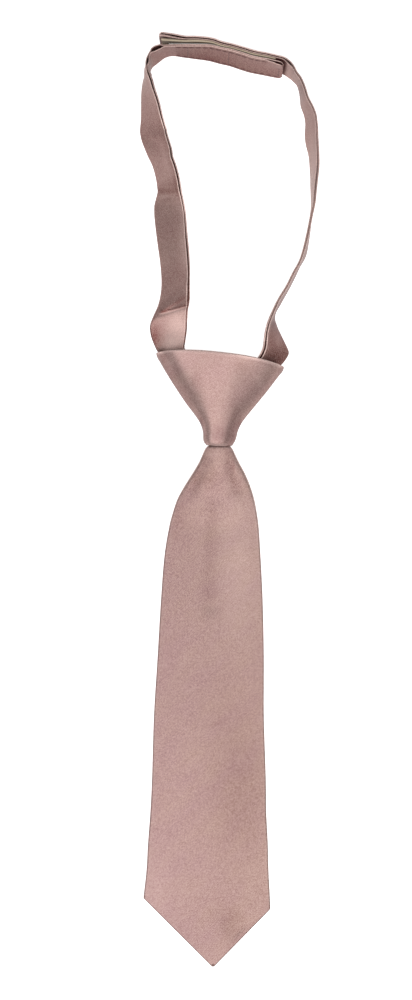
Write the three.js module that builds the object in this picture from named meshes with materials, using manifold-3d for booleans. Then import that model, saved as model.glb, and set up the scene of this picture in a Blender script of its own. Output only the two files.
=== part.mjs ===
// A child's pre-tied necktie lying on its back, in millimetres with +Z up. X runs across the blade and +Y runs from
// the blade's tip to the back of the neck. The blade and the knot are hollow tubes of cloth. Each neck strap is a
// strip of cloth folded lengthwise, and the two straps close with a pair of hook-and-loop tapes.

import * as THREE from "three";
import { mergeVertices } from "three/addons/utils/BufferGeometryUtils.js";
import Module from "manifold-3d";

const wasm = await Module();
wasm.setup();

// Clearance between pieces that touch
const GAP = 0.3;
const WELD = 1e-4; // points closer than this are one point
const CUT_MARGIN = 1; // how far a cut starts outside the cloth

// Blade: two layers of cloth folded to meet at a seam along the back
const BLADE_WALL = 1.2;
const BLADE_BACK_EDGE = 3.5; // width of the rounding along the blade's lower edges
const BLADE_EDGE_TOP = 0.5; // heights of the blade's outermost edge, as shares of its thickness
const BLADE_EDGE_FOOT = 0.45;
const BLADE_EDGE_ANGLES = [4, 34, 62, 90]; // points round the blade's rounded edges
const BLADE_INNER_POINTS = 6; // points between them
const LEAST_ROUND = 0.6;
const MOST_ROUND = 0.45; // share of a section's width
const SEAM_WIDTH = 0.6;
const SEAM_TOP_Y = 14;
const SEAM_OVERRUN = 3; // the seam runs this far into the pocket
const SEAM_DEPTH = 1.4; // a little more than the cloth, so that the seam opens into the blade
const POCKET_APEX = { x: 1.5, y: -170 }; // where the back flaps part above the tip
const POCKET_DEPTH = 2.1;
const HEM_WIDTH = 2.6; // turned edge round the back of the tip
const CAVITY_END_Y = -191;
const CAVITY_SIDE_WALL = 2.4;
const CAVITY_NECK_WALL = 0.18; // share of the width where the blade is too narrow for the full side wall

// Knot: one wrap of cloth round the blade's neck and the straps
const KNOT_WALL = 1.6;
const KNOT_SEAM_WIDTH = 0.5;
const KNOT_BACK_DROP = 6; // the back of the knot's top edge sits this much lower than its front

// Straps
const STRAP_WIDTH = 18;
const STRAP_THICKNESS = 2.2;
const STRAP_SLIT = 0.2; // between the two walls of the folded strap
const STRAP_STEP = 4.6; // distance between sections along a strap
const LEAN_SHOWS = 0.14; // a strap that leans less than this, as a sine, shows both sides of its fold
const BOTH_EDGES = Math.SQRT2; // distance over a strap's two edges together, for each millimetre along it
const WALL_PLACES = [0, 0.25, 0.5, 0.75, 1]; // points down each wall of a strap
const FOLD_ANGLES = [45, 90, 135]; // points round its fold
const HEADING_REACH = 0.5; // a strap's direction is taken over this distance each way
const STITCHED_LENGTH = 54; // the closed end, where the strap's walls are sewn together
const STITCHED_THICKNESS = 1.4;
const STITCHED_SLIT_DEPTH = 2.4;
const STITCH_BLEND = 14;
const CORNER_RADIUS = 2.2;
const CORNER_STEPS = [0.35, 1]; // extra sections round the corner, as shares of its radius
const GATHER_CURL = 0.4; // how far a gathered strap curls up, for each millimetre that it is narrower
const LEAST_RISE = 0.01; // squared height across a strap that lies flat
const LEAST_FOLD = 0.3; // cloth left at the fold under the slit
const OPENING_CURVE = 1.5; // how late the walls part towards the open edge

// Hook and loop tapes, thinner where the closure presses them together
const TAPE_WIDTH = 15;
const TAPE_RISE = 1.6; // from the strap's fold to the tape's lower edge
const TAPE_THICK_END = 0.7;
const TAPE_THIN_END = 0.45;
const TAPE_THINS_OVER = { from: 0, to: 24 }; // in x
const TAPE_STEP = 3;
const TAPE_FROM_X = -15.5;
const TAPE_TO_X = 28;

// The blade from its neck inside the knot to its tip. back is the height of the blade's back above the floor, and
// round is the width of the rounding along its upper edges.
// y, left, right, thickness, back, round
const BLADE_ROWS = [
  [50, 2.6, 10.4, 4.6, 2, 3.9],
  [38, 2.2, 10.8, 5.2, 2, 4.3],
  [30, 2.2, 10.8, 5.6, 2, 4.3],
  [27.6, 2.3, 10.8, 5.6, 2, 4.2],
  [26.4, 0.6, 12.3, 6, 1.9, 5.6],
  [25, -0.6, 13.3, 6.2, 1.6, 6.6],
  [19, -3.3, 16.2, 6, 0.7, 8.4],
  [13.5, -6.5, 19.2, 5.6, 0.2, 9],
  [7.5, -10.3, 21.8, 5.2, 0, 9],
  [0.5, -14.2, 24, 4.8, 0, 8],
  [-5.5, -16.3, 25.2, 4.5, 0, 7],
  [-12.5, -18.2, 26.2, 4.2, 0, 6],
  [-27.5, -20.7, 27.2, 3.9, 0, 5],
  [-50, -22.5, 28.3, 3.6, 0, 4.4],
  [-78.5, -24.2, 28.9, 3.5, 0, 4],
  [-107.5, -26, 28.9, 3.5, 0, 4],
  [-140, -27, 29.9, 3.5, 0, 4],
  [-156, -27.8, 30.1, 3.5, 0, 4],
  [-172, -29, 30.9, 3.4, 0, 4],
  [-184.5, -29.7, 31.2, 3.3, 0, 4],
  [-198, -31.2, 31.9, 3.2, 0, 4],
];

// The blade's pointed end: its two corners and its blunt tip
const TIP_LEFT = { x: -31.3, y: -198.5 };
const TIP_RIGHT = { x: 32.2, y: -204 };
const TIP_POINT = { x: 3.5, y: -232.5 };
const TIP_BLUNT = 1.2; // half-width of the tip
const TIP_SECTIONS = 7;
const TIP_START_THICKNESS = 3.2;
const TIP_THICKNESS = 3;
const TIP_ROUND = 4;
const TIP_MOST_ROUND = 0.4; // share of a section's width

// Soft folds that run down the blade from the knot: place across the blade from -1 to 1, width, depth, length
const BLADE_FOLDS = [
  { across: -0.42, width: 0.2, depth: 0.7, length: 70 },
  { across: 0.1, width: 0.22, depth: -0.5, length: 60 },
  { across: 0.55, width: 0.2, depth: 0.6, length: 80 },
];
const FOLD_START_Y = 27;
const FOLD_START_LENGTH = 12;

// The knot from its top edge to its lower mouth. arch lifts the middle of a section towards +Y, and valley is the
// depth of the soft hollow that runs down each side of the front.
// leftX, leftY, rightX, rightY, height, side, arch, valley
const KNOT_ROWS = [
  [-24.8, 73.1, 38.8, 66.3, 18, 6.4, 3.3, 0],
  [-20.3, 64.2, 34.9, 60.1, 17.2, 5.6, 2.6, 0.5],
  [-15.2, 56, 30.3, 54, 16, 5, 1.8, 1],
  [-10.1, 48.4, 25.7, 48.4, 14.6, 4.6, 1, 1.2],
  [-5.5, 42.3, 21.1, 42.8, 13.2, 4.3, 0.4, 1.1],
  [-2.9, 38.2, 18, 38.7, 12.2, 4.1, 0, 0.9],
  [-1.6, 34.1, 16, 34.6, 11.5, 3.9, -0.2, 0.7],
  [-1.3, 29.5, 14.8, 30, 11, 3.8, -0.4, 0.4],
  [-0.1, 27.5, 13.3, 27.2, 10.4, 3.7, -0.4, 0.2],
];
const KNOT_DOME = 2.15; // exponent of the front's arched section
const KNOT_VALLEY_PLACE = 0.6;
const KNOT_VALLEY_WIDTH = 0.17;
const KNOT_FRONT_POINTS = 15;
const KNOT_CORNER = 1.1; // width of the back's rounded corners, as a share of the side's height
const KNOT_MOST_CORNER = 0.5; // share of the knot's half width

// Points round a back corner of the knot: distance in from the side as a share of the corner's width, height as a
// share of the side's height, and how far the point counts as the back, from 0 to 1
const KNOT_CORNER_POINTS = [
  { inset: 1, rise: 0, rear: 1 },
  { inset: 0.38, rise: 0.22, rear: 0.95 },
  { inset: 0.08, rise: 0.6, rear: 0.75 },
];

// The left strap from its end inside the knot to the start of the closure. fold is the folded edge as it lies, near
// is the open edge, lift raises the fold off the floor, and width is the strap's width where it is gathered or not.
// foldX, foldY, nearX, nearY, lift, width
const LEFT_ROWS = [
  [-9, 56.5, 5.6, 62.5, 2, 17],
  [-12.6, 61.5, 0, 67, 2, 16],
  [-17.2, 67.2, -6.4, 71, 1.9, 15],
  [-23.6, 73.2, -11.2, 75.2, 1.7, 15],
  [-25.7, 77, -10.9, 79, 2.4, 16.4],
  [-27.4, 81.6, -10.3, 83.5, 3.4, 17.7],
  [-28, 86.5, -10.1, 87, 4, 18],
  [-26.6, 91, -9.6, 91.5, 3, 18],
  [-24.6, 95.5, -9, 96.5, 1.5, 18],
  [-22.7, 101, -8.4, 101.5, 0.3, 18],
  [-22.3, 108, -8.1, 108.5, 0, 18],
  [-22.9, 118, -8.9, 119, 0, 18],
  [-24.4, 129, -9.8, 130, 0, 18],
  [-25.8, 141, -11, 142, 0, 18],
  [-26, 146.5, -11.8, 147, 0, 18],
  [-24.8, 152, -12.8, 153, 0, 18],
  [-24.6, 158, -13.9, 160, 0, 18],
  [-26, 164.5, -15.6, 167, 0, 18],
  [-28.8, 171, -17.4, 173.5, 0, 18],
  [-31.3, 177, -19, 179, 0, 18],
  [-33, 183.5, -20.7, 184.5, 0, 18],
  [-32.6, 189.5, -22.2, 190, 0, 18],
  [-32.2, 196, -23.8, 196.5, 0, 18],
  [-32, 203, -25.9, 203, 0, 18],
  [-31, 208, -27.6, 207.5, 0, 18],
  [-29.4, 211.6, -28.4, 211.4, 0, 18],
  [-27.6, 214.6, -28.3, 215, 0, 18],
  [-25.6, 216.8, -27.2, 218.6, 0, 18],
  [-23.2, 218.8, -25.2, 221.3, 0, 18],
  [-20.4, 220.8, -21.8, 223.6, 0, 18],
];

// The closure, which both straps follow, from the left strap's corner to its free end. stack is the distance from
// the left strap's middle layer out to the right strap's.
// foldX, foldY, nearX, nearY, stack
const CLOSURE_ROWS = [
  [-16.8, 221.9, -17.2, 225.2, 4.2],
  [-11.5, 221.1, -11.4, 224.8, 4],
  [-5.5, 220.3, -5.4, 224.6, 3.9],
  [1.5, 219.3, 2, 224.2, 3.9],
  [6.8, 217.9, 7.2, 223, 3.8],
  [12, 216.7, 12.6, 221.8, 3.7],
  [17.3, 214.9, 18.2, 220.1, 3.5],
  [22, 213.5, 23.2, 218.5, 3.4],
  [28.5, 212.2, 29.6, 217.3, 3],
  [34, 211.1, 34.9, 216, 2.8],
  [37.6, 210.4, 38.2, 215.2, 2.8],
];

// The right strap's free end, before the closure
// foldX, foldY, nearX, nearY, lift, width
const RIGHT_FREE_ROWS = [[-22, 227, -22.5, 230.3, 0, 18]];

// The right strap from the closure down to its end inside the knot
// foldX, foldY, nearX, nearY, lift, width
const RIGHT_ROWS = [
  [42, 210.3, 42.8, 213.6, 0, 18],
  [45.3, 207.9, 46.2, 209.8, 0, 18],
  [46.9, 201.8, 48.6, 202.8, 0, 18],
  [47.2, 196.9, 50.2, 198.4, 0, 18],
  [49.2, 191.6, 52.4, 193.2, 0, 18],
  [49.7, 187, 53.4, 188, 0, 18],
  [49.5, 182.8, 54.1, 183.8, 0, 18],
  [50, 178, 54.5, 179, 0, 18],
  [51.6, 171.7, 54.9, 172.2, 0, 18],
  [52.2, 164.7, 55, 165, 0, 18],
  [52.6, 157, 54.5, 157.2, 0, 18],
  [53.1, 149.5, 53.4, 149.5, 0, 18],
  [52.7, 140, 51.9, 140, 0, 18],
  [51.4, 130, 50, 130.4, 0, 18],
  [49.8, 121.5, 48, 122.2, 0, 18],
  [47, 116.6, 46, 117.3, 0, 18],
  [43.9, 111.4, 43.2, 111.8, 0, 18],
  [40.9, 105.2, 40.1, 105.6, 0, 18],
  [37.2, 98.4, 36.2, 99, 0, 18],
  [34.3, 92.4, 32.8, 92.9, 0, 18],
  [35.7, 86.6, 30.5, 87.3, 0, 18],
  [37.8, 82, 29.4, 82.6, 0, 18],
  [39.6, 78.2, 29.1, 78.8, 0.3, 17.8],
  [41.4, 73.9, 28.6, 75.2, 0.9, 16.8],
  [40.6, 71.2, 28, 72.4, 1.4, 15.6],
  [37.4, 67.1, 26, 69.6, 1.7, 15],
  [31, 61.4, 20.6, 66.6, 2, 15.4],
  [24, 56, 9.6, 63, 2, 17],
];

// How far each wall of a strap stands out at its free end, and over what length
const LEFT_END_OPENING = { outer: 0.2, inner: 0.9, length: 9 };
const RIGHT_END_OPENING = { outer: 0.8, inner: 0.1, length: 12 };

const SATIN = { color: 0xb99690, roughness: 0.55, metalness: 0 };
const HOOK = { color: 0xcfc8ba, roughness: 0.8, metalness: 0 };
const LOOP = { color: 0xbdb4a4, roughness: 0.95, metalness: 0 };

const { clamp, degToRad, lerp, smoothstep } = THREE.MathUtils;

// Reads a table at any distance along it. Each column is a smooth curve through its rows, and distance is measured
// between rows in the columns that span names.
function curveThrough(rows, span) {
  const distance = [0];
  for (let i = 1; i < rows.length; i++) {
    const leg = Math.hypot(...span.map((c) => rows[i][c] - rows[i - 1][c]));
    distance.push(distance[i - 1] + leg);
  }
  const slope = rows.map((row, i) => {
    const before = Math.max(i - 1, 0);
    const after = Math.min(i + 1, rows.length - 1);
    return row.map((_, c) => (rows[after][c] - rows[before][c]) / (distance[after] - distance[before]));
  });
  const length = distance.at(-1);
  const at = (s) => {
    let i = 0;
    while (i < rows.length - 2 && distance[i + 1] < s) i++;
    const leg = distance[i + 1] - distance[i];
    const t = (s - distance[i]) / leg;
    const start = (1 + 2 * t) * (1 - t) ** 2;
    const startSlope = t * (1 - t) ** 2 * leg;
    const end = t * t * (3 - 2 * t);
    const endSlope = t * t * (t - 1) * leg;
    return rows[i].map(
      (value, c) => start * value + startSlope * slope[i][c] + end * rows[i + 1][c] + endSlope * slope[i + 1][c],
    );
  };
  return { at, length };
}

// A closed solid through sections. Each section has a front and a back, two lines of points that face each other,
// and the first and last sections are closed between those lines.
function loft(sections) {
  const positions = [];
  const count = sections[0].front.length;
  const ring = 2 * count;
  for (const { front, back } of sections) {
    for (const p of front) positions.push(p.x, p.y, p.z);
    for (const p of [...back].reverse()) positions.push(p.x, p.y, p.z);
  }
  const faces = [];
  const quad = (a, b, c, d) => faces.push(a, b, c, a, c, d);
  for (let s = 0; s < sections.length - 1; s++) {
    for (let i = 0; i < ring; i++) {
      const next = (i + 1) % ring;
      quad(s * ring + i, s * ring + next, (s + 1) * ring + next, (s + 1) * ring + i);
    }
  }
  const last = (sections.length - 1) * ring;
  for (let i = 0; i < count - 1; i++) {
    const partner = ring - 1 - i;
    quad(i, partner, partner - 1, i + 1);
    quad(last + i, last + i + 1, last + partner - 1, last + partner);
  }
  const geometry = new THREE.BufferGeometry();
  geometry.setAttribute("position", new THREE.Float32BufferAttribute(positions, 3));
  geometry.setIndex(faces);
  return signedVolume(geometry) < 0 ? turnedOut(geometry) : geometry;
}

function signedVolume(geometry) {
  const index = geometry.index.array;
  const place = geometry.attributes.position;
  const [a, b, c] = [new THREE.Vector3(), new THREE.Vector3(), new THREE.Vector3()];
  let volume = 0;
  for (let i = 0; i < index.length; i += 3) {
    a.fromBufferAttribute(place, index[i]);
    b.fromBufferAttribute(place, index[i + 1]);
    c.fromBufferAttribute(place, index[i + 2]);
    volume += a.dot(b.cross(c)) / 6;
  }
  return volume;
}

function turnedOut(geometry) {
  const index = geometry.index.array;
  for (let i = 0; i < index.length; i += 3) {
    [index[i + 1], index[i + 2]] = [index[i + 2], index[i + 1]];
  }
  return geometry;
}

function toSolid(geometry) {
  const bare = geometry.clone();
  for (const name of Object.keys(bare.attributes)) {
    if (name !== "position") bare.deleteAttribute(name);
  }
  const merged = mergeVertices(bare, WELD);
  const mesh = new wasm.Mesh({
    numProp: 3,
    vertProperties: new Float32Array(merged.attributes.position.array),
    triVerts: new Uint32Array(merged.index.array),
  });
  return new wasm.Manifold(mesh);
}

function toGeometry(solid) {
  const mesh = solid.getMesh();
  const geometry = new THREE.BufferGeometry();
  geometry.setAttribute("position", new THREE.BufferAttribute(new Float32Array(mesh.vertProperties), 3));
  geometry.setIndex(new THREE.BufferAttribute(new Uint32Array(mesh.triVerts), 1));
  return geometry;
}

// Blade

// Places across a blade section: close together on the rounded edges, and even between them
function bladePlaces(left, right, round) {
  const edge = BLADE_EDGE_ANGLES.map((angle) => round * (1 - Math.cos(degToRad(angle))));
  const inner = Array.from({ length: BLADE_INNER_POINTS }, (_, i) => {
    return lerp(left + round, right - round, (i + 1) / (BLADE_INNER_POINTS + 1));
  });
  return [...edge.map((d) => left + d), ...inner, ...edge.reverse().map((d) => right - d)];
}

function foldHeight(across, y) {
  let height = 0;
  for (const fold of BLADE_FOLDS) {
    const down = FOLD_START_Y - y;
    const fade = smoothstep(down, 0, FOLD_START_LENGTH) * (1 - smoothstep(down, FOLD_START_LENGTH, fold.length));
    height += fold.depth * fade * Math.exp(-(((across - fold.across) / fold.width) ** 2));
  }
  return height;
}

function bladeSection({ y, left, right, thickness, back, round }, wall, sideWall) {
  const middle = (left + right) / 2;
  const half = (right - left) / 2;
  const inLeft = left + sideWall;
  const inRight = right - sideWall;
  const inRound = Math.min(Math.max(round - sideWall, LEAST_ROUND), (inRight - inLeft) * MOST_ROUND);
  const inThickness = thickness - 2 * wall;
  const floor = back + wall;
  const front = [];
  const rear = [];
  for (const x of bladePlaces(inLeft, inRight, inRound)) {
    const fromEdge = Math.min(x - inLeft, inRight - x);
    const rise = Math.sqrt(Math.max(1 - Math.max(1 - fromEdge / inRound, 0) ** 2, 0));
    const fall = Math.max(1 - fromEdge / Math.min(BLADE_BACK_EDGE, inRound), 0) ** 2;
    const top = floor + inThickness * lerp(BLADE_EDGE_TOP, 1, rise) + rise * foldHeight((x - middle) / half, y);
    front.push(new THREE.Vector3(x, y, top));
    rear.push(new THREE.Vector3(x, y, floor + BLADE_EDGE_FOOT * inThickness * fall));
  }
  return { front, back: rear };
}

function bladeRow([y, left, right, thickness, back, round]) {
  return { y, left, right, thickness, back, round };
}

// Sections of the pointed end, which lean from the left corner to the lower right one
function tipSections() {
  const sections = [];
  for (let i = 0; i < TIP_SECTIONS; i++) {
    const t = i / (TIP_SECTIONS - 1);
    const left = { x: lerp(TIP_LEFT.x, TIP_POINT.x - TIP_BLUNT, t), y: lerp(TIP_LEFT.y, TIP_POINT.y, t) };
    const right = { x: lerp(TIP_RIGHT.x, TIP_POINT.x + TIP_BLUNT, t), y: lerp(TIP_RIGHT.y, TIP_POINT.y, t) };
    const round = Math.min(TIP_ROUND, (right.x - left.x) * TIP_MOST_ROUND);
    const thickness = lerp(TIP_START_THICKNESS, TIP_THICKNESS, t);
    const section = bladeSection({ y: 0, left: left.x, right: right.x, thickness, back: 0, round }, 0, 0);
    for (const p of [...section.front, ...section.back]) {
      p.y = lerp(left.y, right.y, (p.x - left.x) / (right.x - left.x));
    }
    sections.push(section);
  }
  return sections;
}

function prism(points, bottom, top) {
  const shape = new THREE.Shape(points.map(([x, y]) => new THREE.Vector2(x, y)));
  const geometry = new THREE.ExtrudeGeometry(shape, { depth: top - bottom, bevelEnabled: false });
  return geometry.translate(0, 0, bottom);
}

function bladeGeometry() {
  const rows = BLADE_ROWS.map(bladeRow);
  const outside = rows.map((row) => bladeSection(row, 0, 0));
  const outer = toSolid(loft([...outside, ...tipSections()]));
  const hollowRows = rows.filter((row) => row.y > CAVITY_END_Y);
  hollowRows[0] = { ...hollowRows[0], y: hollowRows[0].y + CUT_MARGIN };
  const inner = hollowRows.map((row) => {
    const side = Math.min(CAVITY_SIDE_WALL, (row.right - row.left) * CAVITY_NECK_WALL);
    return bladeSection(row, BLADE_WALL, side);
  });
  const cavity = toSolid(loft(inner));
  const seamX = POCKET_APEX.x;
  const seamLeft = seamX - SEAM_WIDTH / 2;
  const seamRight = seamX + SEAM_WIDTH / 2;
  const seamTop = rows.find((row) => row.y < SEAM_TOP_Y);
  const neckX = (seamTop.left + seamTop.right) / 2;
  const seam = toSolid(
    prism(
      [
        [seamLeft, POCKET_APEX.y - SEAM_OVERRUN],
        [seamRight, POCKET_APEX.y - SEAM_OVERRUN],
        [neckX + SEAM_WIDTH / 2, SEAM_TOP_Y],
        [neckX - SEAM_WIDTH / 2, SEAM_TOP_Y],
      ],
      -CUT_MARGIN,
      SEAM_DEPTH,
    ),
  );
  const slant = HEM_WIDTH * Math.SQRT2;
  const pocket = toSolid(
    prism(
      [
        [POCKET_APEX.x, POCKET_APEX.y],
        [TIP_LEFT.x + HEM_WIDTH, TIP_LEFT.y],
        [TIP_POINT.x, TIP_POINT.y + slant],
        [TIP_RIGHT.x - HEM_WIDTH, TIP_RIGHT.y],
      ],
      -CUT_MARGIN,
      POCKET_DEPTH,
    ),
  );
  return toGeometry(outer.subtract(cavity).subtract(seam).subtract(pocket));
}

// Knot

// The knot's outline across one section, from the seam at the back round the left side, over the front and round the
// right side to the seam again. x runs across and z up, and rear is 0 on the front and 1 on the back.
function knotOutline({ left, right, height, side, valley }) {
  const points = [];
  const middle = (left + right) / 2;
  const half = (right - left) / 2;
  const corner = Math.min(side * KNOT_CORNER, half * KNOT_MOST_CORNER);
  const sideways = [
    { x: KNOT_SEAM_WIDTH / 2, z: 0, rear: 1 },
    { x: (half - corner) / 2, z: 0, rear: 1 },
    ...KNOT_CORNER_POINTS.map(({ inset, rise, rear }) => ({ x: half - corner * inset, z: side * rise, rear })),
  ];
  for (const p of sideways) points.push({ x: middle - p.x, z: p.z, rear: p.rear });
  for (let i = 0; i < KNOT_FRONT_POINTS; i++) {
    const across = Math.sin((Math.PI / 2) * (-1 + (2 * i) / (KNOT_FRONT_POINTS - 1)));
    const dome = (1 - Math.abs(across) ** KNOT_DOME) ** (1 / KNOT_DOME);
    const hollow = valley * Math.exp(-(((Math.abs(across) - KNOT_VALLEY_PLACE) / KNOT_VALLEY_WIDTH) ** 2));
    points.push({ x: middle + half * across, z: side + (height - side) * dome - hollow, rear: 0 });
  }
  for (const p of sideways.reverse()) points.push({ x: middle + p.x, z: p.z, rear: p.rear });
  return points;
}

// The same outline moved in by the cloth's thickness
function movedIn(points, distance) {
  return points.map((p, i) => {
    const before = points[Math.max(i - 1, 0)];
    const after = points[Math.min(i + 1, points.length - 1)];
    const alongX = after.x - before.x;
    const alongZ = after.z - before.z;
    const length = Math.hypot(alongX, alongZ);
    return { ...p, x: p.x + (distance * alongZ) / length, z: p.z - (distance * alongX) / length };
  });
}

function knotSection([leftX, leftY, rightX, rightY, height, side, arch, valley], backDrop) {
  const outline = knotOutline({ left: leftX, right: rightX, height, side, valley });
  const middle = (leftX + rightX) / 2;
  const half = (rightX - leftX) / 2;
  const place = (p, source) => {
    const across = clamp((source.x - middle) / half, -1, 1);
    const y = lerp(leftY, rightY, (across + 1) / 2) + arch * (1 - Math.abs(across) ** 3) - backDrop * source.rear;
    return new THREE.Vector3(p.x, y, p.z);
  };
  const lining = movedIn(outline, KNOT_WALL);
  return {
    front: outline.map((p) => place(p, p)),
    back: lining.map((p, i) => place(p, outline[i])),
  };
}

function knotGeometry() {
  const sections = KNOT_ROWS.map((row, i) => {
    const backDrop = KNOT_BACK_DROP * Math.max(0, 1 - i / 2);
    return knotSection(row, backDrop);
  });
  return loft(sections);
}

// Straps

// One section's frame: the middle of the folded edge, the direction across the strap to its open edge, and the
// direction out of its outer face. The table gives the folded edge as the side of the fold that shows from above.
function strapFrame([foldX, foldY, nearX, nearY, lift, width], heading, thickness) {
  const radius = thickness / 2;
  const height = Math.max(lift, 0) + radius;
  const inside = new THREE.Vector3(heading.y, -heading.x, 0).normalize();
  const lean = new THREE.Vector3(nearX - foldX, nearY - foldY, 0);
  const towards = clamp(lean.dot(inside) / (width * LEAN_SHOWS), -1, 1);
  lean.addScaledVector(inside, -radius * towards);
  const rise = Math.sqrt(Math.max(width * width - lean.lengthSq(), LEAST_RISE));
  const across = new THREE.Vector3(lean.x, lean.y, rise).normalize();
  const outward = new THREE.Vector3().crossVectors(across, heading).normalize();
  const fold = new THREE.Vector3(foldX, foldY, height).addScaledVector(inside, radius * towards);
  return { fold, across, outward, width };
}

// How far each wall stands out at the open edge, and how far the slit runs in from that edge
function strapOpening(toEnd, thickness, end) {
  const stitched = 1 - smoothstep(toEnd, STITCHED_LENGTH, STITCHED_LENGTH + STITCH_BLEND);
  const share = 1 - smoothstep(toEnd, 0, end.length);
  return {
    depth: lerp(STRAP_WIDTH - thickness, STITCHED_SLIT_DEPTH + share, stitched),
    outer: end.outer * share,
    inner: end.inner * share,
  };
}

function strapSection(frame, thickness, opening, cornerCut) {
  const radius = thickness / 2;
  const slit = STRAP_SLIT / 2;
  const length = frame.width - radius;
  const low = cornerCut;
  const high = length - cornerCut;
  const slitEnd = Math.max(high - opening.depth, low + slit + LEAST_FOLD);
  const point = (along, out) => {
    const curl = GATHER_CURL * (STRAP_WIDTH - frame.width) * (1 - (2 * (along / length) - 1) ** 2);
    const open = clamp((along - slitEnd) / (high - slitEnd), 0, 1) ** OPENING_CURVE;
    const spread = out > 0 ? opening.outer * open : -opening.inner * open;
    return frame.fold
      .clone()
      .addScaledVector(frame.across, along)
      .addScaledVector(frame.outward, out + curl + spread);
  };
  const turn = FOLD_ANGLES.map(degToRad);
  const side = (from, to, out) => WALL_PLACES.map((t) => point(lerp(from, to, t), out));
  const round = (start, size) => turn.map((a) => point(start - size * Math.sin(a), size * Math.cos(a)));
  return {
    front: [...side(high, low, radius), ...round(low, radius), ...side(low, high, -radius)],
    back: [...side(high, slitEnd, slit), ...round(slitEnd, slit), ...side(slitEnd, high, -slit)],
  };
}

// Cuts the strap's corners round at its free end
function cornerCut(toEnd) {
  const inside = clamp(CORNER_RADIUS - toEnd, 0, CORNER_RADIUS);
  return CORNER_RADIUS - Math.sqrt(CORNER_RADIUS ** 2 - inside ** 2);
}

function strapThickness(toEnd) {
  const stitched = 1 - smoothstep(toEnd, STITCHED_LENGTH, STITCHED_LENGTH + STITCH_BLEND);
  return lerp(STRAP_THICKNESS, STITCHED_THICKNESS, stitched);
}

// closedEnd is 1 where the free end is the table's last row, and -1 where it is the first
function strapGeometry(rows, closedEnd, end) {
  const curve = curveThrough(rows, [0, 1, 2, 3]);
  const steps = Math.round(curve.length / BOTH_EDGES / STRAP_STEP);
  const distances = Array.from({ length: steps + 1 }, (_, i) => (i / steps) * curve.length);
  const atEnd = closedEnd > 0 ? curve.length : 0;
  const cornerSteps = CORNER_STEPS.map((part) => atEnd - closedEnd * part * CORNER_RADIUS * BOTH_EDGES);
  distances.push(...cornerSteps);
  distances.sort((a, b) => a - b);
  const sections = distances.map((s) => {
    const row = curve.at(s);
    const ahead = curve.at(Math.min(s + HEADING_REACH, curve.length));
    const behind = curve.at(Math.max(s - HEADING_REACH, 0));
    const heading = new THREE.Vector3(
      ahead[0] + ahead[2] - behind[0] - behind[2],
      ahead[1] + ahead[3] - behind[1] - behind[3],
      0,
    ).normalize();
    const toEnd = Math.abs(atEnd - s) / BOTH_EDGES;
    const thickness = strapThickness(toEnd);
    const frame = strapFrame(row, heading, thickness);
    return strapSection(frame, thickness, strapOpening(toEnd, thickness, end), cornerCut(toEnd));
  });
  return loft(sections);
}

// The closure's rows moved out to another layer
function closureLayer(rowDistance) {
  return CLOSURE_ROWS.map((row, i) => {
    const before = CLOSURE_ROWS[Math.max(i - 1, 0)];
    const after = CLOSURE_ROWS[Math.min(i + 1, CLOSURE_ROWS.length - 1)];
    const outward = new THREE.Vector2(before[1] - after[1], after[0] - before[0]);
    const { x, y } = outward.setLength(rowDistance(row));
    return [row[0] + x, row[1] + y, row[2] + x, row[3] + y, 0, STRAP_WIDTH];
  });
}

// Tapes

// A tape on one layer of the closure. place gives the layer's distance out from the tape's thickness and the stack.
function tapeGeometry(place) {
  const rows = closureLayer((row) => place(tapeThickness(row[0]), row[4]));
  const curve = curveThrough(rows, [0, 1]);
  const sections = [];
  const steps = Math.round((TAPE_TO_X - TAPE_FROM_X) / TAPE_STEP);
  for (let i = 0; i <= steps; i++) {
    const x = lerp(TAPE_FROM_X, TAPE_TO_X, i / steps);
    const row = rowAtX(curve, x);
    const ahead = curve.at(Math.min(row.s + HEADING_REACH, curve.length));
    const behind = curve.at(Math.max(row.s - HEADING_REACH, 0));
    const heading = new THREE.Vector3(ahead[0] - behind[0], ahead[1] - behind[1], 0).normalize();
    const thickness = tapeThickness(x);
    const frame = strapFrame(row.values, heading, STITCHED_THICKNESS);
    const point = (along, out) =>
      frame.fold.clone().addScaledVector(frame.across, along).addScaledVector(frame.outward, out);
    const places = [0, 0.5, 1].map((t) => TAPE_RISE + t * TAPE_WIDTH);
    sections.push({
      front: places.map((along) => point(along, thickness / 2)),
      back: places.map((along) => point(along, -thickness / 2)),
    });
  }
  return loft(sections);
}

function tapeThickness(x) {
  return lerp(TAPE_THICK_END, TAPE_THIN_END, smoothstep(x, TAPE_THINS_OVER.from, TAPE_THINS_OVER.to));
}

function rowAtX(curve, x) {
  let low = 0;
  let high = curve.length;
  while (high - low > WELD) {
    const middle = (low + high) / 2;
    if (curve.at(middle)[0] < x) low = middle;
    else high = middle;
  }
  return { s: low, values: curve.at(low) };
}

// The tapes share the room between the two straps' stitched ends
const hookLayer = (thickness) => STITCHED_THICKNESS / 2 + GAP + thickness / 2;
const loopLayer = (thickness, stack) => stack - STITCHED_THICKNESS / 2 - GAP - thickness / 2;

// Assembly

const leftRows = [...LEFT_ROWS, ...closureLayer(() => 0)];
const rightRows = [...RIGHT_FREE_ROWS, ...closureLayer((row) => row[4]), ...RIGHT_ROWS];

const tie = new THREE.Group();

function add(name, geometry, finish) {
  const mesh = new THREE.Mesh(geometry, new THREE.MeshStandardMaterial(finish));
  mesh.name = name;
  tie.add(mesh);
}

add("blade", bladeGeometry(), SATIN);
add("knot", knotGeometry(), SATIN);
add("neck_strap_left", strapGeometry(leftRows, 1, LEFT_END_OPENING), SATIN);
add("neck_strap_right", strapGeometry(rightRows, -1, RIGHT_END_OPENING), SATIN);
add("hook_tape", tapeGeometry(hookLayer), HOOK);
add("loop_tape", tapeGeometry(loopLayer), LOOP);

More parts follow.
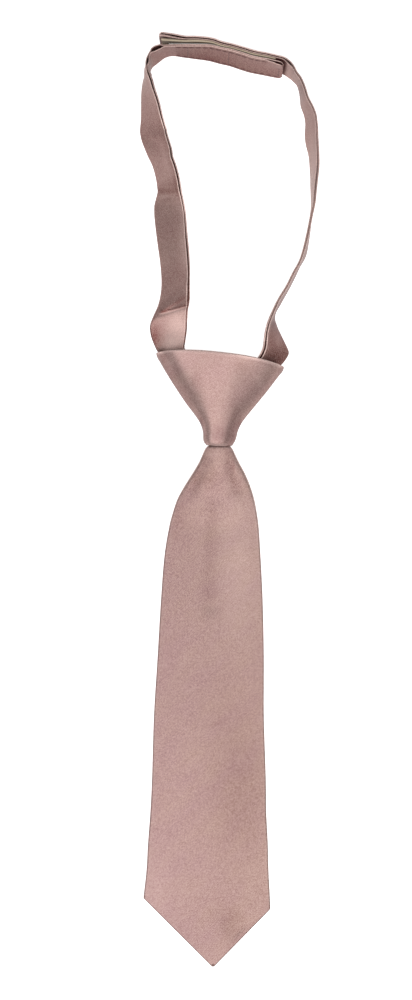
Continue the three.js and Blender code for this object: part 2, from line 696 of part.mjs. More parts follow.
// The origin is the middle of the tie's footprint, on the floor
const box = new THREE.Box3().setFromObject(tie);
const centre = box.getCenter(new THREE.Vector3());
tie.position.set(-centre.x, -centre.y, -box.min.z);

export default tie;
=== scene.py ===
# A child's pre-tied necktie, lying on a pale floor and seen from straight above. Each piece of cloth is
# built here as a fine folded sheet, in the place of its plain solid.

import bpy
import numpy as np
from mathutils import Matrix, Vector


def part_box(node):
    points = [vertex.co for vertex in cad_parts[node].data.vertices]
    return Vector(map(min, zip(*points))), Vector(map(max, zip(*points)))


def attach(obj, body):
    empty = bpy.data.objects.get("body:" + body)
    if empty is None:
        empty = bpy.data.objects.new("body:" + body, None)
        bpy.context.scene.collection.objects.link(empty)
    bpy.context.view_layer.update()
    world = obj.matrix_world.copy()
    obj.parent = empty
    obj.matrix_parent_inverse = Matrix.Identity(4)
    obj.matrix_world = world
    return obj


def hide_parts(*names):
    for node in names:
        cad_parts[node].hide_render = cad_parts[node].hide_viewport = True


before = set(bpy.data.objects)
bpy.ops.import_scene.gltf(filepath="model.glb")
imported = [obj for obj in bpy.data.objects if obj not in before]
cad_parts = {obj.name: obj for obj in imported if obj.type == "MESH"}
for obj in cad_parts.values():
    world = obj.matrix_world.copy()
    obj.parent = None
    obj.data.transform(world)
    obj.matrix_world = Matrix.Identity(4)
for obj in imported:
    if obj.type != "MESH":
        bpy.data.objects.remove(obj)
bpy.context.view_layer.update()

# Sizes and places are in millimetres, and those of the floor and the light in metres. Paleness is
# painted shade and painted highlights on the cloth's colour. A paleness of 0 is the plain cloth, 1 looks
# about a fifth paler, and -1 as much darker.
MM = 0.001

# The view. Its middle is where x and y are 0 in the tables below.
VIEW_HEIGHT = 1200
VIEW_LENGTH = 500  # of floor, from the top of the picture to its foot
SENSOR = 36
VIEW_REACH = 20  # metres

# Floor and light
FLOOR_HALF = 3.0
FLOOR_DROP = 0.0001  # the floor lies this far below the tie, so that their faces don't meet
FLOOR_GLOW = 0.8
WORLD_LIGHT = 0.25
KEY_PLACE = (0.0, -0.65, 1.6)
KEY_SIZE = (1.3, 1.5)
KEY_POWER = 27

# Blade
BLADE_CLOTH = 0.8
BLADE_STEP = 1.5
BLADE_FINE = 28  # the first part of the blade, in the knot and just below it, which is built finer
BLADE_FINE_STEP = 0.25
BLADE_TIP_SECTIONS = 26
BLADE_FRONT_POINTS = 49
BLADE_FLAP_POINTS = 12
BLADE_EDGE_POINTS = 7
BLADE_WIDEST = 0.8  # height of the blade's outermost line, as a share of its thickness
BLADE_BACK_ROUND = 2.2
BLADE_BACK_SHARE = 0.3  # the rounding of the back takes no more than this share of the width
BLADE_FRONT_ROUND = 0.3
BLADE_ROUND = 4  # the roundness of the plain blade, in the tables
BLADE_ROUND_SHARE = 0.1  # how much of a greater roundness the front edges take
SEAM_GAP = 0.3
SEAM_CLEAR = 0.2  # from a flap's edge to the rounding of the back
SEAM_END = (6.5, 50)
SEAM_TOP = (6.3, 13.5)
POCKET_APEX = (1.5, -170)
HEM_WIDTH = 2.6
HEM_REACH = HEM_WIDTH * np.sqrt(2)  # across the blade, where its edge runs at 45 degrees
HEM_TURN = 4  # length below the blade's corners in which the hem turns
TIP_LEFT = (-31.3, -198.5)
TIP_RIGHT = (32.2, -204)
TIP_POINT = (3.5, -232.5)
TIP_BLUNT = 0.8
TIP_THICKNESS = (3.2, 2.8)  # at the corners, and at the point
MOUTH_START = 26.5  # y where the blade goes into the knot
MOUTH_DIP = 1.2
# Painted shade: the blade is darkened where it goes into the knot, in the shadow under the knot's lip.
MOUTH_SHADE = -1.6  # paleness inside the knot
# Painted highlights: the blade's folded edges, and more so below the knot, are made paler where their
# rounding would shade dark.
EDGE_HIGHLIGHT = 0.35  # paleness of the folded edges
EDGE_SHOWS = (0.1, 0.9)  # distances from the side between which it fades
EDGE_END = (-206, -196)  # y between which it fades at the corners
MOUTH_EDGE_HIGHLIGHT = 0.9  # how much paler still the edges are below the knot
MOUTH_EDGE_END = (-30, 0)
CREASE_FADE = (0.5, 5)  # distances from the side between which the folds fade
BLADE_RIPPLE = (0.12, 14, 0.8)  # height, size, turn
BLADE_RIPPLE_FADE = (1, 8)

# Sections of the blade, from inside the knot down to its corners: y, left, right, thickness, height of the
# back above the floor, roundness
BLADE_ROWS = [
    [50, 2.6, 10.4, 4.6, 2, 3.9],
    [38, 2.2, 10.8, 5.2, 2, 4.3],
    [30, 2.2, 10.8, 5.6, 2, 4.3],
    [27.6, 2.3, 10.8, 5.6, 2, 4.2],
    [26.4, 0.6, 12.3, 6, 1.9, 5.6],
    [25, -0.6, 13.3, 6.2, 1.6, 6.6],
    [19, -3.3, 16.2, 6, 0.7, 8.4],
    [13.5, -6.5, 19.2, 5.6, 0.2, 9],
    [7.5, -10.3, 21.8, 5.2, 0, 9],
    [0.5, -14.2, 24, 4.8, 0, 8],
    [-5.5, -16.3, 25.2, 4.5, 0, 7],
    [-12.5, -18.2, 26.2, 4.2, 0, 6],
    [-27.5, -20.7, 27.2, 3.9, 0, 5],
    [-50, -22.5, 28.3, 3.6, 0, 4.4],
    [-78.5, -24.2, 28.9, 3.5, 0, 4],
    [-107.5, -26, 28.9, 3.5, 0, 4],
    [-140, -27, 29.9, 3.5, 0, 4],
    [-156, -27.8, 30.1, 3.5, 0, 4],
    [-172, -29, 30.9, 3.4, 0, 4],
    [-184.5, -29.7, 31.2, 3.3, 0, 4],
    [-198, -31.2, 31.9, 3.2, 0, 4],
]

# Soft folds on the blade's front: x and y of one end, x and y of the other, width, rise
BLADE_CREASES = [
    [-2, 18, -7, 4, 3.2, -0.18],
    [12, 17, 15, 5, 3.4, -0.2],
    [14.9, 19.5, 14.9, 13.5, 0.5, 0.2],
    [4, 0, 2.5, -52, 4.5, -0.35],
    [10, -205, 15, -215, 6, -0.4],
]

# The crown of the blade's front below the knot, where the cloth is gathered: y, height of the crown
BLADE_CROWN = [[-14, 0], [4, 0.6], [12, 1.1], [18, 1.2], [23, 0.8], [27, 0.4], [30, 0]]

# Painted shade and sheen on the blade, where it looks paler or darker: x, y, reach across, reach along,
# paleness
BLADE_SHADES = [
    [16, -36, 13, 42, 0.37],
    [13, -95, 14, 38, -0.13],
    [4, -208, 20, 16, -0.1],
    [-26, -195, 8, 16, 0.17],
    [17, -150, 16, 32, -0.3],
    [12.5, -211, 6, 9, -0.3],
    [3, 10, 6, 5, -0.4],
    [3.3, 17, 2, 4, -0.3],
    [14, 17.5, 1.5, 3, -0.4],
    [11, 22, 1.5, 3, -0.35],
    [-2.7, 17.5, 1, 3, 0.4],
    [-14, -10, 6, 8, -0.25],
]

# The same painted shade and highlights along a line, over the folds below the knot: x and y of one end, x
# and y of the other, width, paleness
BLADE_STREAKS = [
    [-1.5, 20.8, -6.5, 5, 2.2, -0.4],
    [5, 23, 3.5, 10, 2.6, 0.1],
    [11.4, 16.8, 15.5, 5, 2.8, -0.4],
    [14.9, 19, 15.1, 14, 0.5, 0.6],
    [13.6, 25.4, 14.3, 23, 0.7, -1.2],
    [3.5, -2, 1.5, -48, 3, -0.25],
]

# The curves of the knot and of a strap are measured along both their edges at once, so their length is this
# many times the piece's own.
BOTH_EDGES = np.sqrt(2)

# Knot
KNOT_CLOTH = 0.9
KNOT_STEP = 0.8
KNOT_FRONT_POINTS = 81
KNOT_SIDE_POINTS = 8
KNOT_BACK_POINTS = 12
KNOT_FALL_POINTS = 401
KNOT_BACK_DROP = 6  # the back of the knot's top edge sits this much lower than its front
KNOT_BACK_POWER = 1.2
KNOT_DROP_ROWS = 2  # over so many rows of the table
KNOT_SEAM = 0.02
KNOT_CORNER = 1.1  # reach of the rounding under the side, as a share of the side's height
KNOT_CORNER_SHARE = 0.5  # and at most this share of half the width
KNOT_SQUARE = 9  # the greater, the flatter the front runs before it falls to the sides
KNOT_SHOULDER = 2.2
KNOT_ARCH_POWER = 2.5
KNOT_FRONT_FROM = (7, 12)  # heights between which the front's look and folds begin
KNOT_RIPPLE = (0.1, 9, 2.2)
KNOT_LIP = 0.9  # the top and the mouth roll over within this distance of their edges
KNOT_TOP_ROLL = 0.1
KNOT_MOUTH_ROLL = 0.25
KNOT_MOUTH_FROM = (6, 8)
# Painted highlights along the knot's top edge and its mouth, where the rolled cloth would shade dark: how
# much paler, and within what distance of the edge.
KNOT_TOP_HIGHLIGHT = 1.8  # paleness of the top edge
KNOT_TOP_SHOWS = 1.2
KNOT_MOUTH_HIGHLIGHT = 2.2
KNOT_MOUTH_SHOWS = 0.9

# Sections of the knot, from its top edge to its mouth: x and y of its left end, x and y of its right end,
# height, height of the side, how far the front bows towards the neck
KNOT_ROWS = [
    [-24.8, 72.7, 38.8, 65.9, 18.2, 6.4, 3.3],
    [-20.3, 64.2, 34.9, 60.1, 17, 5.6, 2.6],
    [-15.2, 56, 30.3, 54, 15.6, 5, 1.8],
    [-10.1, 48.4, 25.7, 48.4, 14.3, 4.6, 1],
    [-5.5, 42.3, 21.1, 42.8, 13.2, 4.3, 0.4],
    [-2.9, 38.2, 18, 38.7, 12.2, 4.1, 0],
    [-1.6, 34.1, 16, 34.6, 11.5, 3.9, -0.2],
    [-1.3, 29.5, 14.8, 30, 11, 3.8, -0.4],
    [-0.1, 27.8, 13.3, 27.5, 10.4, 3.7, -0.4],
]

# How steeply the knot's front falls to the right, in degrees, at each place across it: at its top edge,
# then further and further down to its mouth
KNOT_PLACES = [0, 0.06, 0.15, 0.25, 0.35, 0.45, 0.55, 0.65, 0.75, 0.85, 0.94, 1]
KNOT_FALLS = [
    [0, -46, -18, -4, -2, -1, 0, 0, 2, 6, 16, 24, 46],
    [0.2, -46, -26, -10, -6, -2, 0, 3, 11, 14, 16, 21, 46],
    [0.45, -46, -30, -19, -11, -3, 1, 6, 12, 15, 20, 27, 46],
    [0.7, -46, -28, -19, -7, -2, 3, 8, 12, 22, 34, 22, 46],
    [1, -46, -28, -13, -4, -2, 4, 9, 15, 34, 42, 20, 46],
]

# A soft fold on the knot's front: x and y of one end, x and y of the other, width, rise
KNOT_CREASES = [
    [-14, 70, 2, 42, 5, 0.15],
]

# Painted shade and highlights on the knot's slopes and hollows: x, y, reach across, reach along, paleness
KNOT_SHADES = [
    [-17.5, 60, 2, 6, -0.25],
    [-17, 68.5, 2.5, 4, 0.55],
    [-20.8, 68, 1.5, 3, -0.3],
    [-4.7, 59.5, 3, 5, -0.35],
    [17.3, 66, 3.5, 3, -0.45],
    [29, 66, 2.5, 3, 0.4],
    [26, 59.5, 2.5, 4, 0.35],
    [-2.3, 37.5, 0.8, 3, -1],
    [16.7, 37.5, 0.9, 3, -0.6],
    [6.5, 33, 3, 5, -0.3],
    [2.4, 32, 1.2, 3, 0.3],
    [14, 40, 3, 9, -0.35],
    [12, 31, 2, 6, -0.35],
]
# The same painted shade and highlights at each of KNOT_PLACES
KNOT_PAINTED_SHADE = [-0.4, -0.25, 0.25, 0.1, 0.05, 0.05, 0.1, 0.12, 0.08, 0, 0, -0.3]

# Straps
STRAP_WIDTH = 18
STRAP_CLOTH = 0.5
STRAP_STEP = 0.9
# Distances from the open edge of the points up a wall
STRAP_WALL_STEPS = [
    0, 0.12, 0.3, 0.6, 1, 1.5, 2.1, 2.8, 3.6, 4.4, 5.2, 6, 6.8, 7.6, 8.4, 9.2, 10, 10.8, 11.6, 12.4, 13.2,
    14, 14.8, 15.6, 16.4, 17.3,
]
STRAP_FOLD_POINTS = 9
STRAP_HEM = 1.6  # the part of each wall that is turned in and thicker, below its open edge
STRAP_HEM_FULL = 0.4  # the share of the hem's width at which it has its full thickness
STRAP_OPENS = 0.55  # the share of a wall's height above which the walls come together, or apart, to the slit
STRAP_RIPPLE = (0.16, 6, 1.1)
STRAP_RIPPLE_HEIGHT = (1, 9)  # between these heights and lengths the ripple begins
STITCHED_LENGTH = 54
STRAP_RIPPLE_LENGTH = (STITCHED_LENGTH - 4, STITCHED_LENGTH + 12)
STRAP_LOOK_STEP = 0.7  # how far ahead and behind a strap's heading is read
WALL_SHORT = 1  # a wall is about this much lower than the strap's width
LEAN_SHOWS = 0.14  # the lean, as a share of the width, at which the fold is the strap's outermost line
RIM_SHORT = 0.5  # how far the open edge stops short of the strap's full width
# Painted highlight: the last of each wall's open edge is made paler, where the folded rim catches the light.
RIM_SHOWS = 0.3  # the part of the open edge that is paler
RIM_HIGHLIGHT = 2.8
# Painted light and shade on the outer wall, within this distance of its open edge.
RIM_SHADING_REACH = 5
# Painted shade on the strap's inside, in the slit between its walls.
STRAP_INSIDE_SHADE = -1.4  # paleness of the strap's inside
# Painted shade: the stitched part is made darker towards its fold.
FOOT_SHADE = 0.5  # how much darker the stitched part is near its fold
GATHER_CURL = 0.2
RISE_LEAST = 0.01  # the square of the height that a strap keeps where it lies almost flat
RIDGE_HOLLOW = 0.3  # how hollow the slope below a ridge is, where 0 is straight
CORNER_RADIUS = 2.2

# The left strap, from inside the knot to the closure: x and y of its fold, which is down, and x and y of
# its open edge, which is up. Then how far the fold is lifted and the strap's width, where they aren't 0 and
# STRAP_WIDTH.
LEFT_ROWS = [
    [-9, 56.5, 5.6, 62.5, 2, 17],
    [-12.6, 61.5, 0, 67, 2, 16],
    [-17.2, 67.2, -6.4, 71, 1.9, 12.4],
    [-23.6, 73.2, -11.2, 75.2, 2.1, 12.4],
    [-25.7, 77, -10.8, 79.5, 2.5, 14.7],
    [-27.4, 81.6, -10.3, 84.5, 3, 17.1],
    [-28, 86.5, -9.9, 90, 3.6, 18],
    [-26.6, 91, -9.4, 96, 3.8, 17.5],
    [-24, 97, -8.9, 101, 2.4, 17.1],
    [-22.6, 103.5, -8.7, 106, 0.6, 17.8],
    [-22.3, 110, -8.5, 112],
    [-22.9, 118, -8.9, 119],
    [-24.4, 129, -9.8, 130],
    [-25.8, 141, -10.6, 142],
    [-25.9, 146.6, -11.4, 147],
    [-25.2, 149.9, -12.3, 150.2],
    [-24.6, 152.4, -12.8, 153.3],
    [-24.5, 155.8, -13.4, 156.9],
    [-24.8, 159.2, -14.2, 161],
    [-25.8, 163.6, -15.6, 166],
    [-27, 167.4, -16.9, 169.7],
    [-28.8, 171, -17.4, 173.5],
    [-30.5, 175, -18.5, 177.2],
    [-32.2, 179.2, -19.6, 180.9],
    [-32.95, 181.8, -20, 183.1],
    [-33.15, 184.2, -20.7, 185.2],
    [-32.6, 189.5, -22.2, 190],
    [-32.5, 196, -23.8, 196.5],
    [-32.4, 203, -25.9, 203],
    [-31.8, 208, -27.3, 207.5],
    [-30.5, 212, -28.7, 211.4],
    [-28.3, 214.6, -29.2, 214.6],
    [-25.8, 216.8, -28.7, 217.8],
    [-23.4, 218.6, -27, 221.1],
    [-20.4, 220.8, -21.8, 223.6],
]

# The closure, which both straps follow: x and y of the fold, x and y of the open edge, and the distance
# from the left strap's middle out to the right strap's
CLOSURE_ROWS = [
    [-16.8, 221.8, -17.2, 224, 4.95],
    [-11.5, 221.1, -11.4, 224.1, 3.85],
    [-5.5, 220.3, -5.4, 224.1, 3.8],
    [1.5, 219.3, 2, 224, 3.2],
    [6.8, 217.9, 7.2, 222.9, 2.6],
    [12, 216.7, 12.6, 221.8, 2.45],
    [17.3, 214.9, 18.2, 220.1, 2.55],
    [22, 213.5, 23.2, 218.5, 2.65],
    [28.5, 212.2, 29.6, 217.3, 2.6],
    [34, 211.1, 34.9, 216, 2.65],
    [37.6, 210.4, 38.2, 215.2, 2.45],
]

# The right strap, in the same way: its free end beyond the closure, and its way from the closure into the
# knot
RIGHT_FREE_ROWS = [
    [-22.7, 227.1, -23.1, 230],
    [-20.2, 226.8, -20.4, 229.6],
]
RIGHT_ROWS = [
    [42, 210.3, 42.8, 213.6],
    [44.4, 208.5, 44.4, 210.5],
    [45.8, 207, 46.1, 208.3],
    [46.6, 204.4, 47.5, 205.4],
    [46.9, 201.8, 48.5, 202.8],
    [47.2, 196.9, 50.1, 198.2],
    [48.9, 192, 52.6, 193.6],
    [49.5, 188.6, 54.1, 189.8],
    [49.5, 186, 54.5, 187],
    [49.3, 182.8, 54.8, 183.8],
    [49.7, 178, 54.8, 179],
    [51.2, 171.7, 55, 172.2],
    [51.8, 164.7, 55, 165],
    [52.2, 157, 54.2, 157.2],
    [52.7, 151.4, 53.7, 151.4],
    [52.9, 146.5, 53.3, 146.5],
    [52.4, 140, 51.9, 140],
    [51.4, 130, 50, 130.4],
    [49.9, 121.8, 48, 122.2],
    [46.8, 116.6, 46.3, 117.3],
    [44.5, 111.4, 43.2, 111.8],
    [41.3, 105.2, 40, 105.6],
    [37.6, 98.4, 35.9, 99],
    [34.4, 92.4, 33.2, 92.9],
    [35.7, 86.6, 31.1, 87.3],
    [37.8, 82, 30, 82.6],
    [39.6, 78.2, 29.6, 78.8, 0.3, 17.8],
    [41.4, 73.9, 29.1, 75.2, 0.9, 16.8],
    [40.6, 71.2, 28, 72.4, 1.4, 15.6],
    [37.4, 67.1, 26, 69.6, 1.7, 15],
    [31, 61.4, 20.6, 66.6, 2, 15.4],
    [24, 56, 9.6, 63, 2, 17],
]

# Each strap's section, by the distance from its closed end: width of the slit along the open edge, the
# inner wall's share of its opening, drop of the inner wall, gap between the walls lower down, thickness of
# the outer and inner rim
LEFT_SECTIONS = [
    [0, 0.1, 0.8, 0, 0.1, 0.4, 0.4],
    [0.7, 1.2, 0.8, 0, 0.1, 0.45, 0.45],
    [3.5, 1.2, 0.8, 0, 0.1, 0.45, 0.45],
    [5, 0.6, 0.8, 0, 0.1, 0.45, 0.45],
    [7, 0.7, 0.8, 0, 0.1, 0.45, 0.5],
    [8.8, 0.04, 0.5, 0, 0.04, 0.5, 0.6],
    [50, 0.04, 0.5, 0, 0.04, 0.5, 0.6],
    [57, 0.1, 0.5, 0, 0.2, 0.5, 0.55],
    [59.6, 0.15, 0.5, 0, 0.3, 0.5, 0.5],
    [60.7, 1.4, 0.4, 0, 0.5, 0.5, 0.5],
    [62, 1.9, 0.4, 0, 0.5, 0.5, 0.5],
    [64, 1.9, 0.4, 0, 0.6, 0.5, 0.5],
    [65.6, 0.15, 0.5, 0, 0.4, 0.5, 0.5],
    [67.5, 0.1, 0.5, 0, 0.3, 0.5, 0.5],
    [69, 1, 0.8, 0, 0.6, 0.5, 0.5],
    [70.5, 1, 0.8, 0, 1, 0.5, 0.5],
    [72.5, 0.15, 0.5, 0, 1.8, 0.5, 0.5],
    [76, 0.5, 0.7, 0, 2.8, 0.5, 0.65],
    [80, 0.7, 0.8, 0, 1.6, 0.5, 0.8],
    [85, 0.65, 0.6, 0, 0.4, 0.55, 0.6],
    [104, 0.85, 0.5, 0, 0.4, 0.5, 0.55],
    [121, 0.9, 0.5, 0, 0.4, 0.5, 0.55],
    [150, 1.1, 0.5, 0, 0.4, 0.5, 0.7],
    [165, 1.4, 0.6, 0, 0.5, 0.5, 0.7],
    [180, 1.1, 0.6, 0, 0.5, 0.5, 0.5],
    [190, 0.9, 0.6, -0.9, 0.5, 0.5, 0.5],
    [197, 0.8, 0.6, -1.1, 0.5, 0.5, 0.5],
    [203, 0.6, 0.5, -0.8, 0.4, 0.6, 0.5],
    [215, 0.5, 0.5, -0.7, 0.4, 0.6, 0.5],
    [245, 0.5, 0.5, 0, 0.3, 0.5, 0.5],
]
RIGHT_SECTIONS = [
    [0, 0.1, 0.5, 0, 0.1, 0.6, 0.8],
    [0.8, 0.5, 0.5, 0, 0.2, 0.65, 1],
    [4, 0.6, 0.5, 0, 0.15, 0.65, 1],
    [9, 0.85, 0.5, 0, 0.1, 0.65, 0.7],
    [12, 0.7, 0.5, 0.1, 0.1, 0.65, 0.5],
    [13.5, 0.45, 0.5, 0.5, 0.1, 0.65, 0.4],
    [28, 0.38, 0.5, 0.5, 0.1, 0.65, 0.4],
    [54, 0.35, 0.5, 0.3, 0.2, 0.6, 0.4],
    [62, 0.5, 0.5, 0, 0.4, 0.6, 0.5],
    [66, 0.9, 0.5, 0, 0.4, 0.6, 0.6],
    [69, 0.2, 0.5, 0, 0.3, 0.6, 0.6],
    [82, 0.25, 0.5, 0, 0.3, 0.6, 0.6],
    [96, 0.15, 0.5, 0, 0.3, 0.6, 0.6],
    [111, 0.16, 0.4, 0, 0.3, 0.8, 0.7],
    [126, 0.35, 0.4, 0, 0.35, 0.8, 0.6],
    [137, 0.1, 0.5, 0, 0.3, 0.7, 0.7],
    [153, 0.16, 0.5, 0, 0.25, 0.7, 0.7],
    [167, 0.1, 0.5, 0, 0.1, 0.55, 0.55],
    [176, 0.1, 0.5, 0, 0.1, 0.6, 0.6],
    [188, 0.14, 0.5, 0, 0.2, 0.55, 0.6],
    [199, 0.35, 0.5, 0, 0.35, 0.65, 0.9],
    [208, 0.6, 0.5, -0.2, 0.4, 0.65, 0.9],
    [217, 1.3, 0.5, -0.2, 0.4, 0.65, 0.9],
    [240, 0.4, 0.5, 0, 0.3, 0.6, 0.6],
]

# Soft folds in the left strap: x and y of one end, x and y of the other, width, rise
LEFT_CREASES = [
    [-25, 154.5, -13, 150, 1.6, -0.35],
    [-33, 182.5, -24, 176, 2.2, -0.3],
    [-25.5, 166.5, -22.5, 169, 0.8, 0.25],
]

# Where it turns sharply: x and y of one end of the ridge, x and y of the other, rise, reach above, reach
# below
LEFT_RIDGES = [
    [-25.5, 90, -10.5, 97, 0.25, 4, 15],
]

# Painted shade and highlights on a strap's bulges, twists and folds: x, y, reach across, reach along,
# paleness
LEFT_SPOTS = [
    [-26.5, 79, 5, 6, -0.8],
    [-14, 84, 6, 9, 0.4],
    [-16, 157, 4, 4, -0.3],
    [-17, 77, 4.5, 4.5, 1.4],
    [-15, 87.5, 5.5, 9, 0.72],
    [-14.5, 79, 5, 4, 0.5],
    [-25.5, 84, 3, 5, -0.4],
    [-24.5, 91.5, 2.5, 2, 0.3],
    [-13.5, 76.5, 5, 2.5, 0.9],
    [-20.5, 151, 4, 0.7, 0.6],
]
RIGHT_SPOTS = [
    [43.5, 212.5, 3, 4, -0.5],
    [35.8, 79.5, 3, 5, 0.6],
    [32.5, 87.5, 1.5, 2, -0.5],
    [45.8, 203.5, 3, 3, -0.7],
]

# The same painted shade and highlights along a line: x and y of one end, x and y of the other, width,
# paleness
LEFT_STREAKS = [
    [-24.5, 155, -13, 152, 1.4, -0.5],
    [-22.2, 93.5, -10.5, 96.7, 0.7, -1],
    [-21.4, 94, -10.9, 100.4, 0.9, -0.8],
    [-22, 92.5, -10.5, 95.3, 0.6, 0.8],
]

# Painted shade and highlights by the distance from the closed end: the paleness of the outer wall, of the
# inner wall, and of the inner wall's open edge
LEFT_SHADES = [
    [0, -0.6, -0.25, 2],
    [50, -0.6, -0.9, 2],
    [62, -0.3, -0.7, 2],
    [75, 0.2, -0.4, 2],
    [90, -0.1, 0, 2.8],
    [107, -0.3, 0, 3],
    [119, -0.05, 0, 2.8],
    [129, 0, 0, 2.8],
    [134, -0.3, 0, 2.8],
    [145, 0.15, 0, 2.8],
    [170, 0.15, 0, 2.8],
    [178, -0.1, 0, 2.4],
    [199, 0, 0, 2.2],
    [204, 0, 0, -1.2],
    [245, 0, 0, -1.2],
]
RIGHT_SHADES = [
    [0, -0.3, -0.6, 2],
    [54, 0, -1.6, 2],
    [63.8, 0, -1.8, 2],
    [65.4, 0, 0.5, 2],
    [69, 0, 0.5, 2],
    [76, 0, -0.2, 2],
    [95, 0, -0.05, 2],
    [120, 0, 0.8, 2.8],
    [180, -0.6, 0.3, 2.8],
    [196, -0.9, 0, 3.2],
    [210, -1, 0, 3.2],
    [240, -1.1, 0, 3.2],
]

# Painted light and shade on the outer wall near its open edge, by the same distance
LEFT_RIM_SHADING = [
    [56, 0], [60, 0.3], [90, 0.1], [100, -0.2], [112, -0.2], [124, -0.5],
    [135, -0.4], [145, 0.6], [172, 0.65], [180, 0.1], [245, 0.2],
]
RIGHT_RIM_SHADING = [[56, 0], [60, 0.3], [240, 0.3]]

# Stitches
STITCH_LENGTH = 2.7
STITCH_PITCH = 3.3
STITCH_HALF = 0.18
STITCH_PROUD = 0.06
STITCH_INSET = 1.8
STITCH_MARGIN = 1
STITCH_SIDES = 8
STITCH_ROWS = (1.6, 15.2)  # heights above the fold
STITCH_CROSSES = (1.8, 27.5, 48)
# The rings of a stitch, as shares of its length, and how thick it is at each
STITCH_SHARES = [0, 0.08, 0.25, 0.5, 0.75, 0.92, 1]
STITCH_TAPER = [0.05, 0.65, 0.95, 1, 0.95, 0.65, 0.05]

# Tapes
TAPE_WIDTH = 15
TAPE_RISE = 2.3
TAPE_STEP = 0.9
TAPE_POINTS = 13
TAPE_LOW = 0.5  # from the tape's lower line to its first point
TAPE_TOPS = (1.2, 0.8, 0.5)  # from its width down to its last three points
# Painted shade on each tape's faces below its edge, between the tapes.
TAPE_FACE_SHADE = -1.3  # paleness of a tape's faces below its edge
TAPE_EDGE = 0.5
TAPE_GAP = 0.04
TAPE_FINE_STEPS = 400
HOOK_START = -17.5  # x
LOOP_START = -20.8
TAPES_END = 34
LEFT_REACH = 0.54  # from the left strap's middle to its outer face, where the hook tape lies

# x of the place, thickness of the loop tape, thickness of the hook tape
TAPE_ROWS = [
    [-22, 1.15, 0.7],
    [-12, 1, 0.65],
    [-5, 1.1, 0.65],
    [2, 0.8, 0.55],
    [12, 0.6, 0.4],
    [22, 0.65, 0.45],
    [38, 0.55, 0.4],
]

# How far in from the right strap's middle its inner face lies: x of the place, distance
RIGHT_REACH = [[-22, 1.75], [-16, 1.45], [-11.5, 0.87], [-5.5, 0.62], [1.5, 0.6], [12, 0.53], [38, 0.5]]

# Cloth edges: how far round the edge of a piece its points are
EDGE_TURNS = np.radians([35, 62, 84])

# Satin
TWILL_PERIOD = 0.9  # from one line of the weave to the next
TWILL_WANDER = (0.3, 5.0)  # waves to a millimetre, and how far the lines stray
SPECKS = 3.4  # to a millimetre
CLOUDS = (0.1, 0.04)  # to a millimetre, across the weave and along it
CLOUD_COLOUR = 2.2  # how far the clouds turn the colour
CLOUD_LIGHT = 0.3
SPECK_LIGHT = 1.2
TWILL_LIGHT = 0.12
# The grain and the painted shade and highlights move the colour between the dark and the pale cloth. The dark
# cloth is reddened so that painted shade keeps the satin's hue.
LIGHT_RANGE = (-1.1, 4.0)
LIGHT_SHARE = 0.15  # how far the dark and the pale cloth go towards the next two colours
SATIN_DARK = (66, 0, 0)
SATIN_PALE = (255, 226, 218)
SATIN_ROUGH = 0.42
SPECK_ROUGH = 0.06
SATIN_RELIEF = 0.00004
TWILL_HEIGHT = 0.5  # of the relief
SPECK_HEIGHT = 0.2
NOISE_LAYERS = 2.0

# Tape and thread
RIB_PERIOD = 0.8
FUZZ = (2.2, 3.0, 0.7)  # to a millimetre, layers, roughness
FUZZ_LIGHT = 1.2
RIB_LIGHT = 0.2
RIB_HEIGHT = 0.4
TAPE_RANGE = (-1.1, 1.0)
THREAD_TWIST = (3.0, 9.0)  # across the thread and along it
THREAD_RELIEF = 0.00005

blade_low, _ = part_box("blade")
ORIGIN = np.array([blade_low.x / MM - TIP_LEFT[0], blade_low.y / MM - TIP_POINT[1], 0.0])


# Maths on arrays

def lerp(a, b, t):
    return a + (b - a) * t


def smooth(x, low, high):
    t = np.clip((x - low) / (high - low), 0, 1)
    return t * t * (3 - 2 * t)


def unit(v):
    return v / np.maximum(np.linalg.norm(v, axis=-1, keepdims=True), 1e-9)


class Curve:
    """A smooth curve through the rows of a table, read at any distance along it. Its span is the columns that
    measure it."""

    def __init__(self, rows, span):
        self.rows = np.array(rows, float)
        legs = np.linalg.norm(np.diff(self.rows[:, span], axis=0), axis=1)
        self.distance = np.concatenate([[0], np.cumsum(legs)])
        self.length = self.distance[-1]
        places = np.arange(len(rows))
        before = np.maximum(places - 1, 0)
        after = np.minimum(places + 1, len(rows) - 1)
        run = self.distance[after] - self.distance[before]
        self.slope = (self.rows[after] - self.rows[before]) / run[:, None]

    def at(self, s):
        s = np.clip(np.asarray(s, float), 0, self.length)
        i = np.clip(np.searchsorted(self.distance, s, side="right") - 1, 0, len(self.distance) - 2)
        leg = self.distance[i + 1] - self.distance[i]
        t = (s - self.distance[i]) / leg
        start = (1 + 2 * t) * (1 - t) ** 2
        start_slope = t * (1 - t) ** 2 * leg
        end = t * t * (3 - 2 * t)
        end_slope = t * t * (t - 1) * leg
        return (
            start[:, None] * self.rows[i]
            + start_slope[:, None] * self.slope[i]
            + end[:, None] * self.rows[i + 1]
            + end_slope[:, None] * self.slope[i + 1]
        )


def read(table, place, column):
    """A column of a short table, read straight between its rows."""
    table = np.array(table)
    return np.interp(place, table[:, 0], table[:, column])


def ripple(u, v, height, size, turn):
    """A soft uneven wave over u and v, from -height to height. The odd numbers keep it from repeating."""
    a = np.sin(u / size + 1.7 * np.sin(v / size * 0.6 + turn) + turn)
    b = np.sin(v / size * 1.3 + 1.3 * np.sin(u / size * 0.7 - turn) + 2.1 * turn)
    return height * (0.5 * (a + b))


